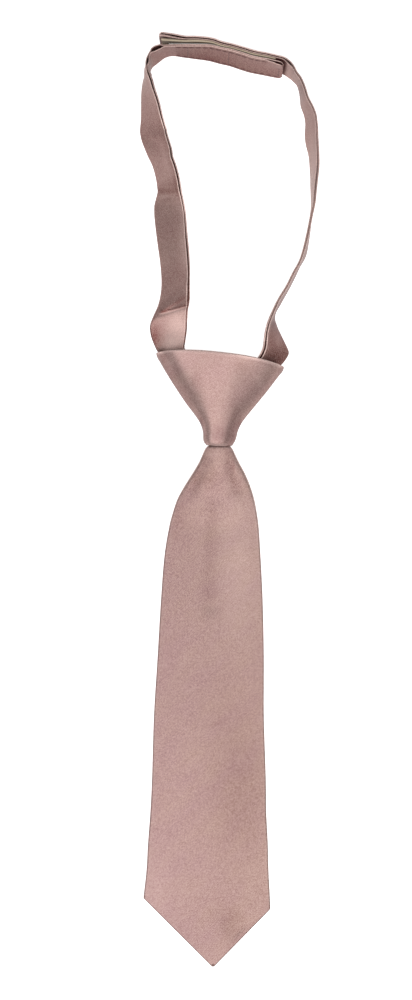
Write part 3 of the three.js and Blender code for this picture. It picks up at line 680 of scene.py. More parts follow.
def creased(points, creases):
    """How far each point is moved by the creases near it. Seen from above, each runs between two places."""
    total = np.zeros(points.shape[:-1])
    plan = points[..., :2]
    for x1, y1, x2, y2, width, rise in creases:
        start = np.array([x1, y1])
        along = np.array([x2, y2]) - start
        t = np.clip(((plan - start) @ along) / (along @ along), 0, 1)
        away = np.linalg.norm(plan - start - t[..., None] * along, axis=-1)
        total += rise * np.exp(-((away / width) ** 2))
    return total


def ridged(points, ridges):
    """How far each point is moved by a ridge that is sharp on one side and slopes off slowly on the other."""
    total = np.zeros(points.shape[:-1])
    for x1, y1, x2, y2, rise, above, below in ridges:
        way = unit(np.array([x2 - x1, y2 - y1], float))
        from_start = points[..., :2] - np.array([x1, y1])
        side = from_start @ np.array([-way[1], way[0]])
        slope = np.clip(1 + side / below, 0, 1)
        below_it = slope * (1 - RIDGE_HOLLOW + RIDGE_HOLLOW * slope)
        total += rise * np.where(side > 0, np.exp(-((side / above) ** 2)), below_it)
    return total


def spots(points, places):
    """How much paler each point is for the soft spots near it."""
    total = np.zeros(points.shape[:-1])
    for x, y, across, along, pale in places:
        away = ((points[..., 0] - x) / across) ** 2 + ((points[..., 1] - y) / along) ** 2
        total += pale * np.exp(-away)
    return total


# Meshes

def rounded(mid, half, normal, cloth, axis):
    """Takes a sheet past its two borders on one axis, ever thinner, so that its edges come out round."""
    mid, half, normal, cloth = (np.moveaxis(a, axis, 0) for a in (mid, half, normal, cloth))
    for _ in range(2):
        out = unit(mid[0] - mid[1])
        for turn, last in zip(EDGE_TURNS, (0, *EDGE_TURNS[:-1])):
            reach = half[0] / np.cos(last)
            step = mid[0] + out * (reach * (np.sin(turn) - np.sin(last)))[..., None]
            mid = np.concatenate([step[None], mid])
            half = np.concatenate([(reach * np.cos(turn))[None], half])
            normal = np.concatenate([normal[:1], normal])
            cloth = np.concatenate([cloth[:1], cloth])
        mid, half, normal, cloth = mid[::-1], half[::-1], normal[::-1], cloth[::-1]
    return [np.moveaxis(a, 0, axis) for a in (mid, half, normal, cloth)]


def cloth_piece(name, mid, half, lay, finish, pale, inside=None):
    """A piece of cloth as a closed mesh: a sheet through mid, half to each side of it, with round edges. Its
    two faces have a paleness each, their painted shade and highlights."""
    half = np.broadcast_to(half, mid.shape[:2])
    inside = pale if inside is None else inside
    cloth = np.concatenate([lay, pale[..., None], inside[..., None]], -1)
    normal = unit(np.cross(np.gradient(mid, axis=0), np.gradient(mid, axis=1)))
    for axis in (0, 1):
        mid, half, normal, cloth = rounded(mid, half, normal, cloth, axis)
    rows, columns = half.shape
    sides = [mid + normal * half[..., None], mid - normal * half[..., None]]
    points = np.concatenate([side.reshape(-1, 3) for side in sides])
    count = rows * columns
    index = np.arange(count).reshape(rows, columns)
    square = np.stack([index[:-1, :-1], index[1:, :-1], index[1:, 1:], index[:-1, 1:]], -1).reshape(-1, 4)
    border = np.concatenate([index[:-1, 0], index[-1, :-1], index[:0:-1, -1], index[0, :0:-1]])
    after = np.roll(border, -1)
    rim = np.stack([border, border + count, after + count, after], -1)
    faces = np.concatenate([square, square[:, ::-1] + count, rim[:, ::-1]])
    cloth = np.concatenate([cloth[..., [0, 1, 2]], cloth[..., [0, 1, 3]]]).reshape(-1, 3)
    return mesh_object(name, points, faces, cloth, finish)


def add_object(name, data):
    added = bpy.data.objects.new(name, data)
    bpy.context.scene.collection.objects.link(added)
    return added


def mesh_object(name, points, faces, cloth, finish):
    """A piece of the tie from its points and its four-sided faces, which are turned outwards. Each point
    carries its place on the flat cloth, across and along it, and its paleness, its painted shade and
    highlights."""
    points = points + ORIGIN
    points[:, 2] = np.maximum(points[:, 2], 0)
    a, b, c, d = (points[faces[:, i]] for i in range(4))
    volume = np.einsum("ij,ij->", a, np.cross(b, c)) + np.einsum("ij,ij->", a, np.cross(c, d))
    if volume < 0:
        faces = faces[:, ::-1]
    mesh = bpy.data.meshes.new(name)
    mesh.from_pydata((points * MM).tolist(), [], faces.tolist())
    mesh.polygons.foreach_set("use_smooth", np.ones(len(mesh.polygons), bool))
    lay = mesh.attributes.new("cloth", "FLOAT_VECTOR", "POINT")
    lay.data.foreach_set("vector", cloth.astype(np.float32).ravel())
    mesh.materials.append(finish)
    mesh.validate()
    piece = add_object(name, mesh)
    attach(piece, "root")
    return piece


# Finishes

class Wire:
    """A number that changes over a surface. Arithmetic on it adds the Math nodes."""

    def __init__(self, paint, socket):
        self.paint = paint
        self.socket = socket

    def math(self, operation, *inputs):
        made = self.paint.node("ShaderNodeMath", {"operation": operation}, inputs)
        return Wire(self.paint, made.outputs[0])

    def __add__(self, other):
        return self.math("ADD", self, other)

    def __sub__(self, other):
        return self.math("SUBTRACT", self, other)

    def __rsub__(self, other):
        return self.math("SUBTRACT", other, self)

    def __mul__(self, other):
        return self.math("MULTIPLY", self, other)

    def sine(self):
        return self.math("SINE", self)

    def clamped(self, low, high):
        return self.math("MAXIMUM", self.math("MINIMUM", self, high), low)

    __radd__ = __add__
    __rmul__ = __mul__


class Paint:
    """A material and its nodes."""

    def __init__(self, name):
        self.material = bpy.data.materials.new(name)
        self.material.use_nodes = True
        self.tree = self.material.node_tree
        self.surface = self.tree.nodes["Principled BSDF"]

    def node(self, kind, settings=None, inputs=()):
        made = self.tree.nodes.new(kind)
        for key, value in (settings or {}).items():
            setattr(made, key, value)
        pairs = inputs.items() if isinstance(inputs, dict) else enumerate(inputs)
        for key, value in pairs:
            self.put(made.inputs[key], value)
        return made

    def put(self, socket, value):
        source = value.socket if isinstance(value, Wire) else value
        if isinstance(source, bpy.types.NodeSocket):
            self.tree.links.new(source, socket)
        else:
            socket.default_value = source

    def set(self, **sockets):
        for key, value in sockets.items():
            self.put(self.surface.inputs[key.replace("_", " ")], value)

    def cloth(self):
        """What each point carries: its place across and along the flat cloth, and its paleness, which paints
        shade and highlights.
        """
        return self.node("ShaderNodeAttribute", {"attribute_name": "cloth"}).outputs["Vector"]

    def parts(self, vector):
        return [Wire(self, part) for part in self.node("ShaderNodeSeparateXYZ", {}, [vector]).outputs]

    def place(self, across, along):
        return self.node("ShaderNodeCombineXYZ", {}, [across, along, 0.0]).outputs[0]

    def noise(self, where, scale, detail, rough=0.5):
        inputs = {"Vector": where, "Scale": scale, "Detail": detail, "Roughness": rough}
        return Wire(self, self.node("ShaderNodeTexNoise", {}, inputs).outputs[0])

    def specks(self, across, along):
        """A different number, from 0 to 1, on each small square of the cloth."""
        squares = [wire.math("FLOOR", wire * SPECKS) for wire in (across, along)]
        inputs = {"Vector": self.place(*squares)}
        return Wire(self, self.node("ShaderNodeTexWhiteNoise", {"noise_dimensions": "2D"}, inputs).outputs[0])

    def mix(self, share, a, b):
        settings = {"data_type": "RGBA", "clamp_factor": False}
        return self.node("ShaderNodeMix", settings, {0: share, 6: a, 7: b}).outputs[2]

    def bump(self, height, distance, strength):
        inputs = {"Height": height, "Distance": distance, "Strength": strength}
        return self.node("ShaderNodeBump", {}, inputs).outputs[0]


def colour(red, green, blue):
    """A colour as it is read from a picture, as the linear one that a shader takes."""
    parts = [c / 255 for c in (red, green, blue)]
    return (*[p / 12.92 if p <= 0.04045 else ((p + 0.055) / 1.055) ** 2.4 for p in parts], 1.0)


def satin(name, pink, beige, sheen_drift, turn):
    """Matte satin: a fine slanting twill with specks, whose colour drifts softly from pink to beige, in
    clouds and, as a painted sheen, across the cloth. Each point's paleness paints shade and highlights on it.
    """
    paint = Paint(name)
    across, along, pale = paint.parts(paint.cloth())
    slant = across * np.cos(turn) + along * np.sin(turn)
    level = along * np.cos(turn) - across * np.sin(turn)
    speck = paint.specks(slant, level)
    scale, stray = TWILL_WANDER
    wander = paint.noise(paint.place(across, along), scale, NOISE_LAYERS) * stray
    twill = (slant * (2 * np.pi / TWILL_PERIOD) + wander).sine()
    cloud = paint.noise(paint.place(slant * CLOUDS[0], level * CLOUDS[1]), 1.0, NOISE_LAYERS)
    # The drift across the cloth is a painted sheen that turns it from pink towards beige.
    share = ((cloud - 0.5) * CLOUD_COLOUR + across * sheen_drift + 0.5).clamped(0.0, 1.0)
    base = paint.mix(share, colour(*pink), colour(*beige))
    dark_cloth, pale_cloth = (paint.mix(LIGHT_SHARE, base, colour(*end)) for end in (SATIN_DARK, SATIN_PALE))
    # Painted light and shade: pale is each point's painted shade and highlights, added to the cloth's own
    # specks, twill and clouds.
    light = (speck - 0.5) * SPECK_LIGHT + twill * TWILL_LIGHT + (cloud - 0.5) * CLOUD_LIGHT + pale + 0.5
    paint.set(
        Base_Color=paint.mix(light.clamped(*LIGHT_RANGE), dark_cloth, pale_cloth),
        Metallic=0.42,
        Roughness=(speck - 0.5) * SPECK_ROUGH + SATIN_ROUGH,
        Specular_IOR_Level=0.25,
        Specular_Tint=(0.35, 0.3, 0.28, 1),
        Sheen_Weight=0.04,
        Sheen_Roughness=0.4,
        Normal=paint.bump(twill * TWILL_HEIGHT + speck * SPECK_HEIGHT, SATIN_RELIEF, strength=0.5),
    )
    return paint.material


def tape_finish(name, base, pile, relief):
    """A woven tape with a pile of tiny hooks or loops, and the painted shade that each point carries."""
    paint = Paint(name)
    lay = paint.cloth()
    across, along, pale = paint.parts(lay)
    wave = 2 * np.pi / RIB_PERIOD
    rib = (along * wave).sine() * (across * wave).sine()
    fuzz = paint.noise(lay, *FUZZ)
    light = (rib * RIB_LIGHT + (fuzz - 0.5) * FUZZ_LIGHT + 0.5 + pale).clamped(*TAPE_RANGE)
    paint.set(
        Base_Color=paint.mix(light, colour(*base), colour(*pile)),
        Roughness=0.85,
        Sheen_Weight=0.2,
        Normal=paint.bump(rib * RIB_HEIGHT + fuzz, relief, strength=0.8),
    )
    return paint.material


def thread_finish():
    """Sewing thread with a twist, darker than the cloth: partly its own colour and partly painted shade where
    the stitches sink into the cloth.
    """
    paint = Paint("thread")
    across, along, _ = paint.parts(paint.cloth())
    twist = (along * THREAD_TWIST[1] + across * THREAD_TWIST[0]).sine()
    light = (twist * 0.5 + 0.5).clamped(0.0, 1.0)
    paint.set(
        Base_Color=paint.mix(light, colour(78, 48, 48), colour(108, 72, 70)),
        Roughness=0.5,
        Normal=paint.bump(twist, THREAD_RELIEF, strength=0.6),
    )
    return paint.material


def floor_finish():
    """A white sheet that glows a little."""
    paint = Paint("floor_white")
    paint.set(
        Base_Color=(0.9, 0.9, 0.9, 1),
        Roughness=0.9,
        Specular_IOR_Level=0.1,
        Emission_Color=(1, 1, 1, 1),
        Emission_Strength=FLOOR_GLOW,
    )
    return paint.material


# The three satins are one cloth. Their colours differ a little as painted light: the knot's is paler for its
# brighter sheen, the blade's darker.
SATIN_BLADE = satin("satin_blade", (142, 113, 111), (142, 115, 107), 0.012, np.radians(-45))
SATIN_KNOT = satin("satin_knot", (151, 120, 117), (151, 123, 116), 0.006, np.radians(-60))
SATIN_STRAP = satin("satin_strap", (149, 116, 111), (148, 118, 111), 0.0, np.radians(-45))
HOOK = tape_finish("hook_tape_weave", (216, 211, 208), (250, 247, 244), 0.0001)
LOOP = tape_finish("loop_tape_pile", (176, 158, 134), (222, 205, 180), 0.00018)
THREAD = thread_finish()


# Blade

def blade_stations():
    """The blade's sections: left x and y, right x and y, thickness, height of the back, roundness."""
    body = Curve(BLADE_ROWS, [0])
    count = int(body.length / BLADE_STEP)
    fine = np.arange(0, BLADE_FINE, BLADE_FINE_STEP)
    places = np.concatenate([fine, np.linspace(BLADE_FINE, body.length, count)])
    y, left, right, thickness, back, roundness = body.at(places).T
    t = np.linspace(0, 1, BLADE_TIP_SECTIONS)
    tip = [
        lerp(TIP_LEFT[0], TIP_POINT[0] - TIP_BLUNT, t),
        lerp(TIP_LEFT[1], TIP_POINT[1], t),
        lerp(TIP_RIGHT[0], TIP_POINT[0] + TIP_BLUNT, t),
        lerp(TIP_RIGHT[1], TIP_POINT[1], t),
        lerp(*TIP_THICKNESS, t),
        np.zeros(len(t)),
        np.full(len(t), BLADE_ROUND),
    ]
    return np.concatenate([np.stack([left, y, right, y, thickness, back, roundness], 1), np.stack(tip, 1)])


def blade_lips(stations):
    """Where the back flaps end, left and right, on each section."""
    left_x, left_y, right_x, right_y = stations[:, :4].T
    y = (left_y + right_y) / 2
    in_pocket = y < POCKET_APEX[1]
    seam_x, seam_y = zip(POCKET_APEX, SEAM_TOP, SEAM_END)
    seam = np.interp(y, seam_y, seam_x)
    middle = (left_x + right_x) / 2
    lips = []
    for sign, side_x, side_y, corner in ((1, left_x, left_y, TIP_LEFT), (-1, right_x, right_y, TIP_RIGHT)):
        lip = np.interp(side_y, [corner[1], POCKET_APEX[1]], [corner[0] + sign * HEM_WIDTH, POCKET_APEX[0]])
        lip = np.where(y > POCKET_APEX[1], seam, lip)
        hem = lerp(HEM_WIDTH, HEM_REACH, smooth(-side_y, -corner[1], -corner[1] + HEM_TURN))
        lip = np.where(side_y < corner[1], side_x + sign * hem, lip)
        short = sign * np.minimum(sign * lip, sign * middle)
        lips.append(np.where(in_pocket, short, lip) - sign * SEAM_GAP / 2)
    return lips


def blade_section(station, lip_left, lip_right):
    """One section through the middle of the cloth, from the left flap's edge round the front to the right
    flap's, and where its points lie on the flat cloth."""
    left_x, left_y, right_x, right_y, thickness, back, roundness = station
    half = BLADE_CLOTH / 2
    left, right = left_x + half, right_x - half
    bottom, top = back + half, back + thickness - half
    widest = lerp(bottom, top, BLADE_WIDEST)
    front_round = BLADE_FRONT_ROUND + (roundness - BLADE_ROUND) * BLADE_ROUND_SHARE
    back_round = min(BLADE_BACK_ROUND, (right - left) * BLADE_BACK_SHARE)
    lip_left = max(lip_left, left + back_round + SEAM_CLEAR)
    lip_right = min(lip_right, right - back_round - SEAM_CLEAR)
    if lip_right - lip_left < SEAM_GAP:
        middle = (lip_left + lip_right) / 2
        lip_left, lip_right = middle - SEAM_GAP / 2, middle + SEAM_GAP / 2
    flap = np.linspace(0, 1, BLADE_FLAP_POINTS, endpoint=False)
    under_left = np.stack([lerp(lip_left, left + back_round, flap), np.full(len(flap), bottom)], 1)
    under_right = np.stack([lerp(lip_right, right - back_round, flap), np.full(len(flap), bottom)], 1)
    quarter = np.radians(np.linspace(0, 90, BLADE_EDGE_POINTS))
    lower = np.stack([back_round * (1 - np.sin(quarter)), widest - (widest - bottom) * np.cos(quarter)], 1)
    upper = np.stack([front_round * (1 - np.cos(quarter)), widest + (top - widest) * np.sin(quarter)], 1)
    edge = np.concatenate([lower, upper[1:]])
    left_edge = edge + [left, 0]
    right_edge = edge * [-1, 1] + [right, 0]
    inner = np.linspace(left + front_round, right - front_round, BLADE_FRONT_POINTS)[1:-1]
    front = np.stack([inner, np.full(len(inner), top)], 1)
    path = np.concatenate([under_left, left_edge, front, right_edge[::-1], under_right[::-1]])
    x = path[:, 0]
    y = lerp(left_y, right_y, np.clip((x - left_x) / max(right_x - left_x, 1e-6), 0, 1))
    flat = x.copy()
    turned = BLADE_FLAP_POINTS + BLADE_EDGE_POINTS
    flat[:turned] = 2 * left - x[:turned]
    flat[-turned:] = 2 * right - x[-turned:]
    return np.stack([x, y, path[:, 1]], 1), np.stack([flat, y], 1)


def from_sides(mid):
    """How far each point is in from the nearer side, and off the middle as a share of half the width."""
    x = mid[..., 0]
    left, right = x.min(1)[:, None], x.max(1)[:, None]
    return np.minimum(x - left, right - x), (2 * x - left - right) / np.maximum(right - left, 1)


def into_mouth(mid):
    """1 where the blade is inside the knot, 0 where it has come out."""
    return smooth(mid[..., 1], MOUTH_START, MOUTH_START + BLADE_FINE_STEP)


def blade_sheet():
    """The blade through the middle of its cloth, and where its points lie on the flat cloth."""
    stations = blade_stations()
    sections = [blade_section(*parts) for parts in zip(stations, *blade_lips(stations))]
    mid, lay = (np.array(part) for part in zip(*sections))
    front = np.zeros(mid.shape[1])
    turned = BLADE_FLAP_POINTS + BLADE_EDGE_POINTS
    front[turned:-turned] = 1
    inward, off_middle = from_sides(mid)
    lift = creased(mid, BLADE_CREASES) * smooth(inward, *CREASE_FADE)
    lift += ripple(mid[..., 0], mid[..., 1], *BLADE_RIPPLE) * smooth(inward, *BLADE_RIPPLE_FADE)
    lift += read(BLADE_CROWN, mid[..., 1], 1) * (1 - off_middle**2)
    lift -= MOUTH_DIP * into_mouth(mid)
    mid[..., 2] += lift * front
    return mid, lay


def blade_pale(mid):
    """Painted light and shade on the blade: highlights along its folded edges, the spots and streaks of
    BLADE_SHADES and BLADE_STREAKS, and shade where it goes into the knot.
    """
    y = mid[..., 1]
    inward, _ = from_sides(mid)
    edge = EDGE_HIGHLIGHT + MOUTH_EDGE_HIGHLIGHT * smooth(y, *MOUTH_EDGE_END)
    edge = edge * (1 - smooth(inward, *EDGE_SHOWS)) * smooth(y, *EDGE_END)
    pale = spots(mid, BLADE_SHADES) + creased(mid, BLADE_STREAKS) + edge
    return lerp(pale, MOUTH_SHADE, into_mouth(mid))


def make_blade():
    mid, lay = blade_sheet()
    blade = cloth_piece("blade_cloth", mid, BLADE_CLOTH / 2, lay, SATIN_BLADE, blade_pale(mid))
    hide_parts("blade")


# Knot

def knot_crest(place, reach, top):
    """The line of the knot's front: how far across its points are, from -1 to 1, and their heights."""
    falls = [read(KNOT_FALLS, place, column) for column in range(1, len(KNOT_PLACES) + 1)]
    fine = np.linspace(-1, 1, KNOT_FALL_POINTS)
    slope = -np.tan(np.radians(np.interp((fine + 1) / 2, KNOT_PLACES, falls)))
    crest = np.cumsum(slope) * (fine[1] - fine[0]) * reach
    front = np.sin(np.linspace(-np.pi / 2, np.pi / 2, KNOT_FRONT_POINTS))
    return front, np.interp(front, fine, crest - crest.max()) + top


def knot_section(row, place):
    """One section through the middle of the cloth, from the back seam round the left side, over the front and
    round the right side to the seam again. Its place is 0 at the knot's top edge and 1 at its mouth."""
    left_x, left_y, right_x, right_y, height, side, arch = row
    half = KNOT_CLOTH / 2
    middle = (left_x + right_x) / 2
    reach = (right_x - left_x) / 2 - half
    low = half
    front, crest = knot_crest(place, reach, height - half)
    share = (1 - np.abs(front) ** KNOT_SQUARE) ** (1 / KNOT_SHOULDER)
    over = np.stack([middle + reach * front, side + (crest - side) * share], 1)
    corner = min(side * KNOT_CORNER, reach * KNOT_CORNER_SHARE)
    bend = np.radians(np.linspace(0, 90, KNOT_SIDE_POINTS))[:-1]
    turn = np.stack([reach - corner * (1 - np.sin(bend)), side - (side - low) * np.cos(bend)], 1)
    back_x = np.linspace(KNOT_SEAM / 2 + half, reach - corner, KNOT_BACK_POINTS, endpoint=False)
    under = np.concatenate([np.stack([back_x, np.full(len(back_x), low)], 1), turn])
    path = np.concatenate([under * [-1, 1] + [middle, 0], over, (under + [middle, 0])[::-1]])
    across = np.clip((path[:, 0] - middle) / reach, -1, 1)
    rear = np.clip((side - path[:, 1]) / (side - low), 0, 1) ** KNOT_BACK_POWER
    rear[len(under):-len(under)] = 0
    drop = KNOT_BACK_DROP * np.clip(1 - place * (len(KNOT_ROWS) - 1) / KNOT_DROP_ROWS, 0, 1)
    y = lerp(left_y, right_y, (across + 1) / 2) + arch * (1 - np.abs(across) ** KNOT_ARCH_POWER) - drop * rear
    return np.stack([path[:, 0], y, path[:, 1]], 1)


def knot_sheet():
    """The knot through the middle of its cloth, how far each point is from its top edge and from its mouth,
    and 1 where the front is."""
    curve = Curve(KNOT_ROWS, [0, 1, 2, 3])
    places = np.linspace(0, 1, int(curve.length / BOTH_EDGES / KNOT_STEP))
    mid = np.array([knot_section(row, place) for row, place in zip(curve.at(places * curve.length), places)])
    front = smooth(mid[..., 2], *KNOT_FRONT_FROM)
    mid[..., 2] += creased(mid, KNOT_CREASES) * front
    mid[..., 2] += ripple(mid[..., 0], mid[..., 1], *KNOT_RIPPLE) * front
    from_top = np.linalg.norm(mid - mid[:1], axis=-1)
    from_mouth = np.linalg.norm(mid - mid[-1:], axis=-1)
    mid[..., 2] -= KNOT_TOP_ROLL * (1 - smooth(from_top, 0, KNOT_LIP)) * front
    mouth = 1 - smooth(from_mouth, 0, KNOT_LIP)
    mid[..., 2] -= KNOT_MOUTH_ROLL * mouth * smooth(mid[..., 2], *KNOT_MOUTH_FROM)
    return mid, from_top, from_mouth, front


def make_knot():
    mid, from_top, from_mouth, front = knot_sheet()
    steps = np.linalg.norm(np.diff(mid, axis=1), axis=-1)
    arc = np.concatenate([np.zeros((len(mid), 1)), np.cumsum(steps, 1)], 1)
    arc -= arc.mean(1, keepdims=True)
    lay = np.stack([arc, mid[..., 1]], -1)
    x = mid[..., 0]
    share = (x - x.min(1)[:, None]) / np.ptp(x, axis=1)[:, None]
    # Painted shade and highlights on the knot, then highlights along its top edge and its mouth.
    pale = spots(mid, KNOT_SHADES) + np.interp(share, KNOT_PLACES, KNOT_PAINTED_SHADE)
    pale += KNOT_TOP_HIGHLIGHT * (1 - smooth(from_top, 0, KNOT_TOP_SHOWS)) * front
    pale += KNOT_MOUTH_HIGHLIGHT * (1 - smooth(from_mouth, 0, KNOT_MOUTH_SHOWS)) * front
    knot = cloth_piece("knot_cloth", mid, KNOT_CLOTH / 2, lay, SATIN_KNOT, pale)
    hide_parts("knot")


# Straps

def standing(rows):
    """A strap's rows, with its lift and its width where a row leaves them out."""
    return np.array([row if len(row) == 6 else [*row, 0, STRAP_WIDTH] for row in rows], float)


def closure_layer(distances):
    """The closure's rows moved out to another layer."""
    rows = np.array(CLOSURE_ROWS, float)
    place = np.arange(len(rows))
    before = rows[np.maximum(place - 1, 0)]
    after = rows[np.minimum(place + 1, len(rows) - 1)]
    outward = unit(np.stack([before[:, 1] - after[:, 1], after[:, 0] - before[:, 0]], 1))
    step = outward * np.asarray(distances, float)[:, None]
    return standing(np.concatenate([rows[:, :2] + step, rows[:, 2:4] + step], 1))


class StrapFrame:
    """Where a strap's sections stand: their fold, the way up to the open edge, the way out of the loop."""

    def __init__(self, curve, s, radius):
        ahead = curve.at(np.minimum(s + STRAP_LOOK_STEP, curve.length))
        behind = curve.at(np.maximum(s - STRAP_LOOK_STEP, 0))
        turn = ahead - behind
        heading = unit(np.stack([turn[:, 0] + turn[:, 2], turn[:, 1] + turn[:, 3], np.zeros(len(s))], 1))
        fold_x, fold_y, near_x, near_y, lift, width = curve.at(s).T
        inside = np.stack([heading[:, 1], -heading[:, 0], np.zeros(len(s))], 1)
        lean = np.stack([near_x - fold_x, near_y - fold_y, np.zeros(len(s))], 1)
        towards = np.clip((lean * inside).sum(1) / (width * LEAN_SHOWS), -1, 1)
        shift = inside * (radius * towards)[:, None]
        lean = (lean - shift) * (1 + RIM_SHORT / width)[:, None]
        rise = np.sqrt(np.maximum(width**2 - (lean**2).sum(1), RISE_LEAST))
        self.width = width
        self.across = unit(np.stack([lean[:, 0], lean[:, 1], rise], 1))
        self.outward = unit(np.cross(self.across, heading))
        self.fold = np.stack([fold_x, fold_y, np.maximum(lift, 0) + radius], 1) + shift

    def points(self, along, out):
        """Points at a height above the fold and a distance out, for every section."""
        high = along / (self.width[:, None] - WALL_SHORT)
        narrow = np.maximum(STRAP_WIDTH - self.width[:, None], 0)
        curl = GATHER_CURL * narrow * (1 - (2 * np.clip(high, 0, 1) - 1) ** 2)
        return (
            self.fold[:, None]
            + self.across[:, None] * along[..., None]
            + self.outward[:, None] * (out + curl)[..., None]
        )


def strap_frame(curve, s, sections, to_end):
    """A strap's frame, the gap between its walls and how thick they are."""
    gap = read(sections, to_end, 4)
    wall = np.minimum(STRAP_CLOTH, np.minimum(read(sections, to_end, 5), read(sections, to_end, 6)))
    return StrapFrame(curve, s, gap / 2 + wall), gap, wall


def strap_profile(here, width, gap, wall, sections):
    """A strap's sections, down the outer wall, round the fold and up the inner wall. Gives each point's
    height above the fold, its distance out and half its thickness, which wall it is on, and how high that
    wall ends."""
    slit, inner_share, drop, outer_rim, inner_rim = (read(sections, here, i) for i in (1, 2, 3, 5, 6))
    corner = np.clip(CORNER_RADIUS - here, 0, CORNER_RADIUS)
    cut = CORNER_RADIUS - np.sqrt(CORNER_RADIUS**2 - corner**2)
    height = width - wall - gap / 2 - cut
    t = 1 - np.array(STRAP_WALL_STEPS[::-1])[None] / STRAP_WALL_STEPS[-1]
    walls = []
    for sign, rim, fall, share in ((1, outer_rim, 0, 1 - inner_share), (-1, inner_rim, drop, inner_share)):
        high = height - fall
        along = lerp(cut, high, t)
        half = lerp(wall / 2, rim / 2, smooth(along, high - STRAP_HEM, high - STRAP_HEM * STRAP_HEM_FULL))
        opening = lerp(gap / 2, slit * share, smooth(t, STRAP_OPENS, 1))
        walls.append((along, sign * (opening + half), half))
    bend = np.radians(np.linspace(0, 180, STRAP_FOLD_POINTS))[None, 1:-1]
    round_fold = (gap + wall) / 2
    turn = (cut - round_fold * np.sin(bend), round_fold * np.cos(bend), np.repeat(wall / 2, bend.shape[1], 1))
    along, out, half = (np.concatenate([walls[0][i][:, ::-1], turn[i], walls[1][i]], 1) for i in range(3))
    # -1 on the outer wall, 1 on the inner one
    side = np.sign(np.arange(along.shape[1]) - along.shape[1] / 2 + 0.5)
    return along, out, half, side, height - np.where(side < 0, 0, drop)


def strap_pale(mid, here, along, high, outer, shades, glow, places, streaks):
    """The painted shade and highlights of a strap's outside and of its inside."""
    pale = np.where(outer, read(shades, here, 1), read(shades, here, 2))
    pale = pale + spots(mid, places) + creased(mid, streaks)
    pale = pale + read(glow, here, 1) * smooth(along, high - RIM_SHADING_REACH, high) * outer
    pale = pale - FOOT_SHADE * (1 - smooth(along, 0, high)) * (here < STITCHED_LENGTH)
    at_rim = smooth(along, high - RIM_SHOWS, high)
    rim_pale = np.where(outer, RIM_HIGHLIGHT, read(shades, here, 3))
    return lerp(pale, rim_pale, at_rim), lerp(STRAP_INSIDE_SHADE, rim_pale, at_rim)


def strap_sheet(rows, closed_at_end, sections, shades, glow, places, creases=(), ridges=(), streaks=()):
    """A strap as a folded sheet: its points, half its thickness, its place on the flat cloth, and its
    paleness outside and inside."""
    curve = Curve(rows, [0, 1, 2, 3])
    s = np.linspace(0, curve.length, int(curve.length / BOTH_EDGES / STRAP_STEP))
    to_end = (curve.length - s if closed_at_end else s) / BOTH_EDGES
    stand, gap, wall = strap_frame(curve, s, sections, to_end)
    here, width, gap, wall = (a[:, None] for a in (to_end, stand.width, gap, wall))
    along, out, half, side, high = strap_profile(here, width, gap, wall, sections)
    length_along = np.repeat(here, along.shape[1], 1)
    wave = smooth(along, *STRAP_RIPPLE_HEIGHT) * smooth(length_along, *STRAP_RIPPLE_LENGTH)
    out = out + ripple(length_along, along, *STRAP_RIPPLE) * wave
    mid = stand.points(along, out)
    mid += stand.outward[:, None] * (creased(mid, creases) + ridged(mid, ridges))[..., None]
    lay = np.stack([along * side, length_along], -1)
    return mid, half, lay, *strap_pale(mid, here, along, high, side < 0, shades, glow, places, streaks)


def threads(name, starts, ends, up):
    """Short threads that lie on the cloth, from each start to its end, thinner towards their ends."""
    along = ends - starts
    side = unit(np.cross(along, up))
    up = unit(np.cross(side, along))
    share = np.array(STITCH_SHARES)
    thick = STITCH_HALF * np.array(STITCH_TAPER)
    turn = np.radians(np.arange(0, 360, 360 / STITCH_SIDES))
    ring = side[:, None] * np.cos(turn)[:, None] + up[:, None] * np.sin(turn)[:, None]
    points = (
        starts[:, None, None]
        + along[:, None, None] * share[:, None, None]
        + ring[:, None] * thick[:, None, None]
    )
    count, rings, sides = points.shape[:3]
    base = np.arange(count)[:, None, None] * rings * sides
    i = np.arange(rings - 1)[:, None] * sides
    j = np.arange(sides)
    after = (j + 1) % sides
    square = np.stack([base + i + j, base + i + after, base + i + sides + after, base + i + sides + j], -1)
    length = np.linalg.norm(along, axis=1)
    lay = np.zeros(points.shape)
    lay[..., 0] = np.cos(turn)
    lay[..., 1] = length[:, None, None] * share[:, None] + np.arange(count)[:, None, None]
    mesh_object(name, points.reshape(-1, 3), square.reshape(-1, 4), lay.reshape(-1, 3), THREAD)


def strap_stitches(name, rows, closed_at_end, sections):
    """The seam that holds the tape: a rectangle with a line across it, on the face that shows."""
    curve = Curve(rows, [0, 1, 2, 3])
    sign = -1 if closed_at_end else 1
    runs = []
    for high in STITCH_ROWS:
        places = np.arange(STITCH_INSET, STITCHED_LENGTH - STITCH_MARGIN, STITCH_PITCH)
        runs += [(d, high, d + STITCH_LENGTH, high) for d in places]
    for distance in STITCH_CROSSES:
        places = np.arange(STITCH_ROWS[0] + STITCH_MARGIN, STITCH_ROWS[1] - STITCH_LENGTH, STITCH_PITCH)
        runs += [(distance, high, distance, high + STITCH_LENGTH) for high in places]
    runs = np.array(runs)
    ends = []
    for d, high in (runs[:, 0:2].T, runs[:, 2:4].T):
        s = curve.length - d * BOTH_EDGES if closed_at_end else d * BOTH_EDGES
        frame_here, gap, wall = strap_frame(curve, s, sections, d)
        out = sign * (gap / 2 + wall + STITCH_PROUD)
        ends.append((frame_here.points(high[:, None], out[:, None])[:, 0], frame_here.outward * sign))
    threads(name, ends[0][0], ends[1][0], ends[0][1])


def make_strap(node, rows, closed_at_end, sections, **looks):
    mid, half, lay, pale, inside = strap_sheet(rows, closed_at_end, sections, **looks)
    strap = cloth_piece(f"{node}_cloth", mid, half, lay, SATIN_STRAP, pale, inside)
    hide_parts(node)
    strap_stitches(f"{node}_stitches", rows, closed_at_end, sections)


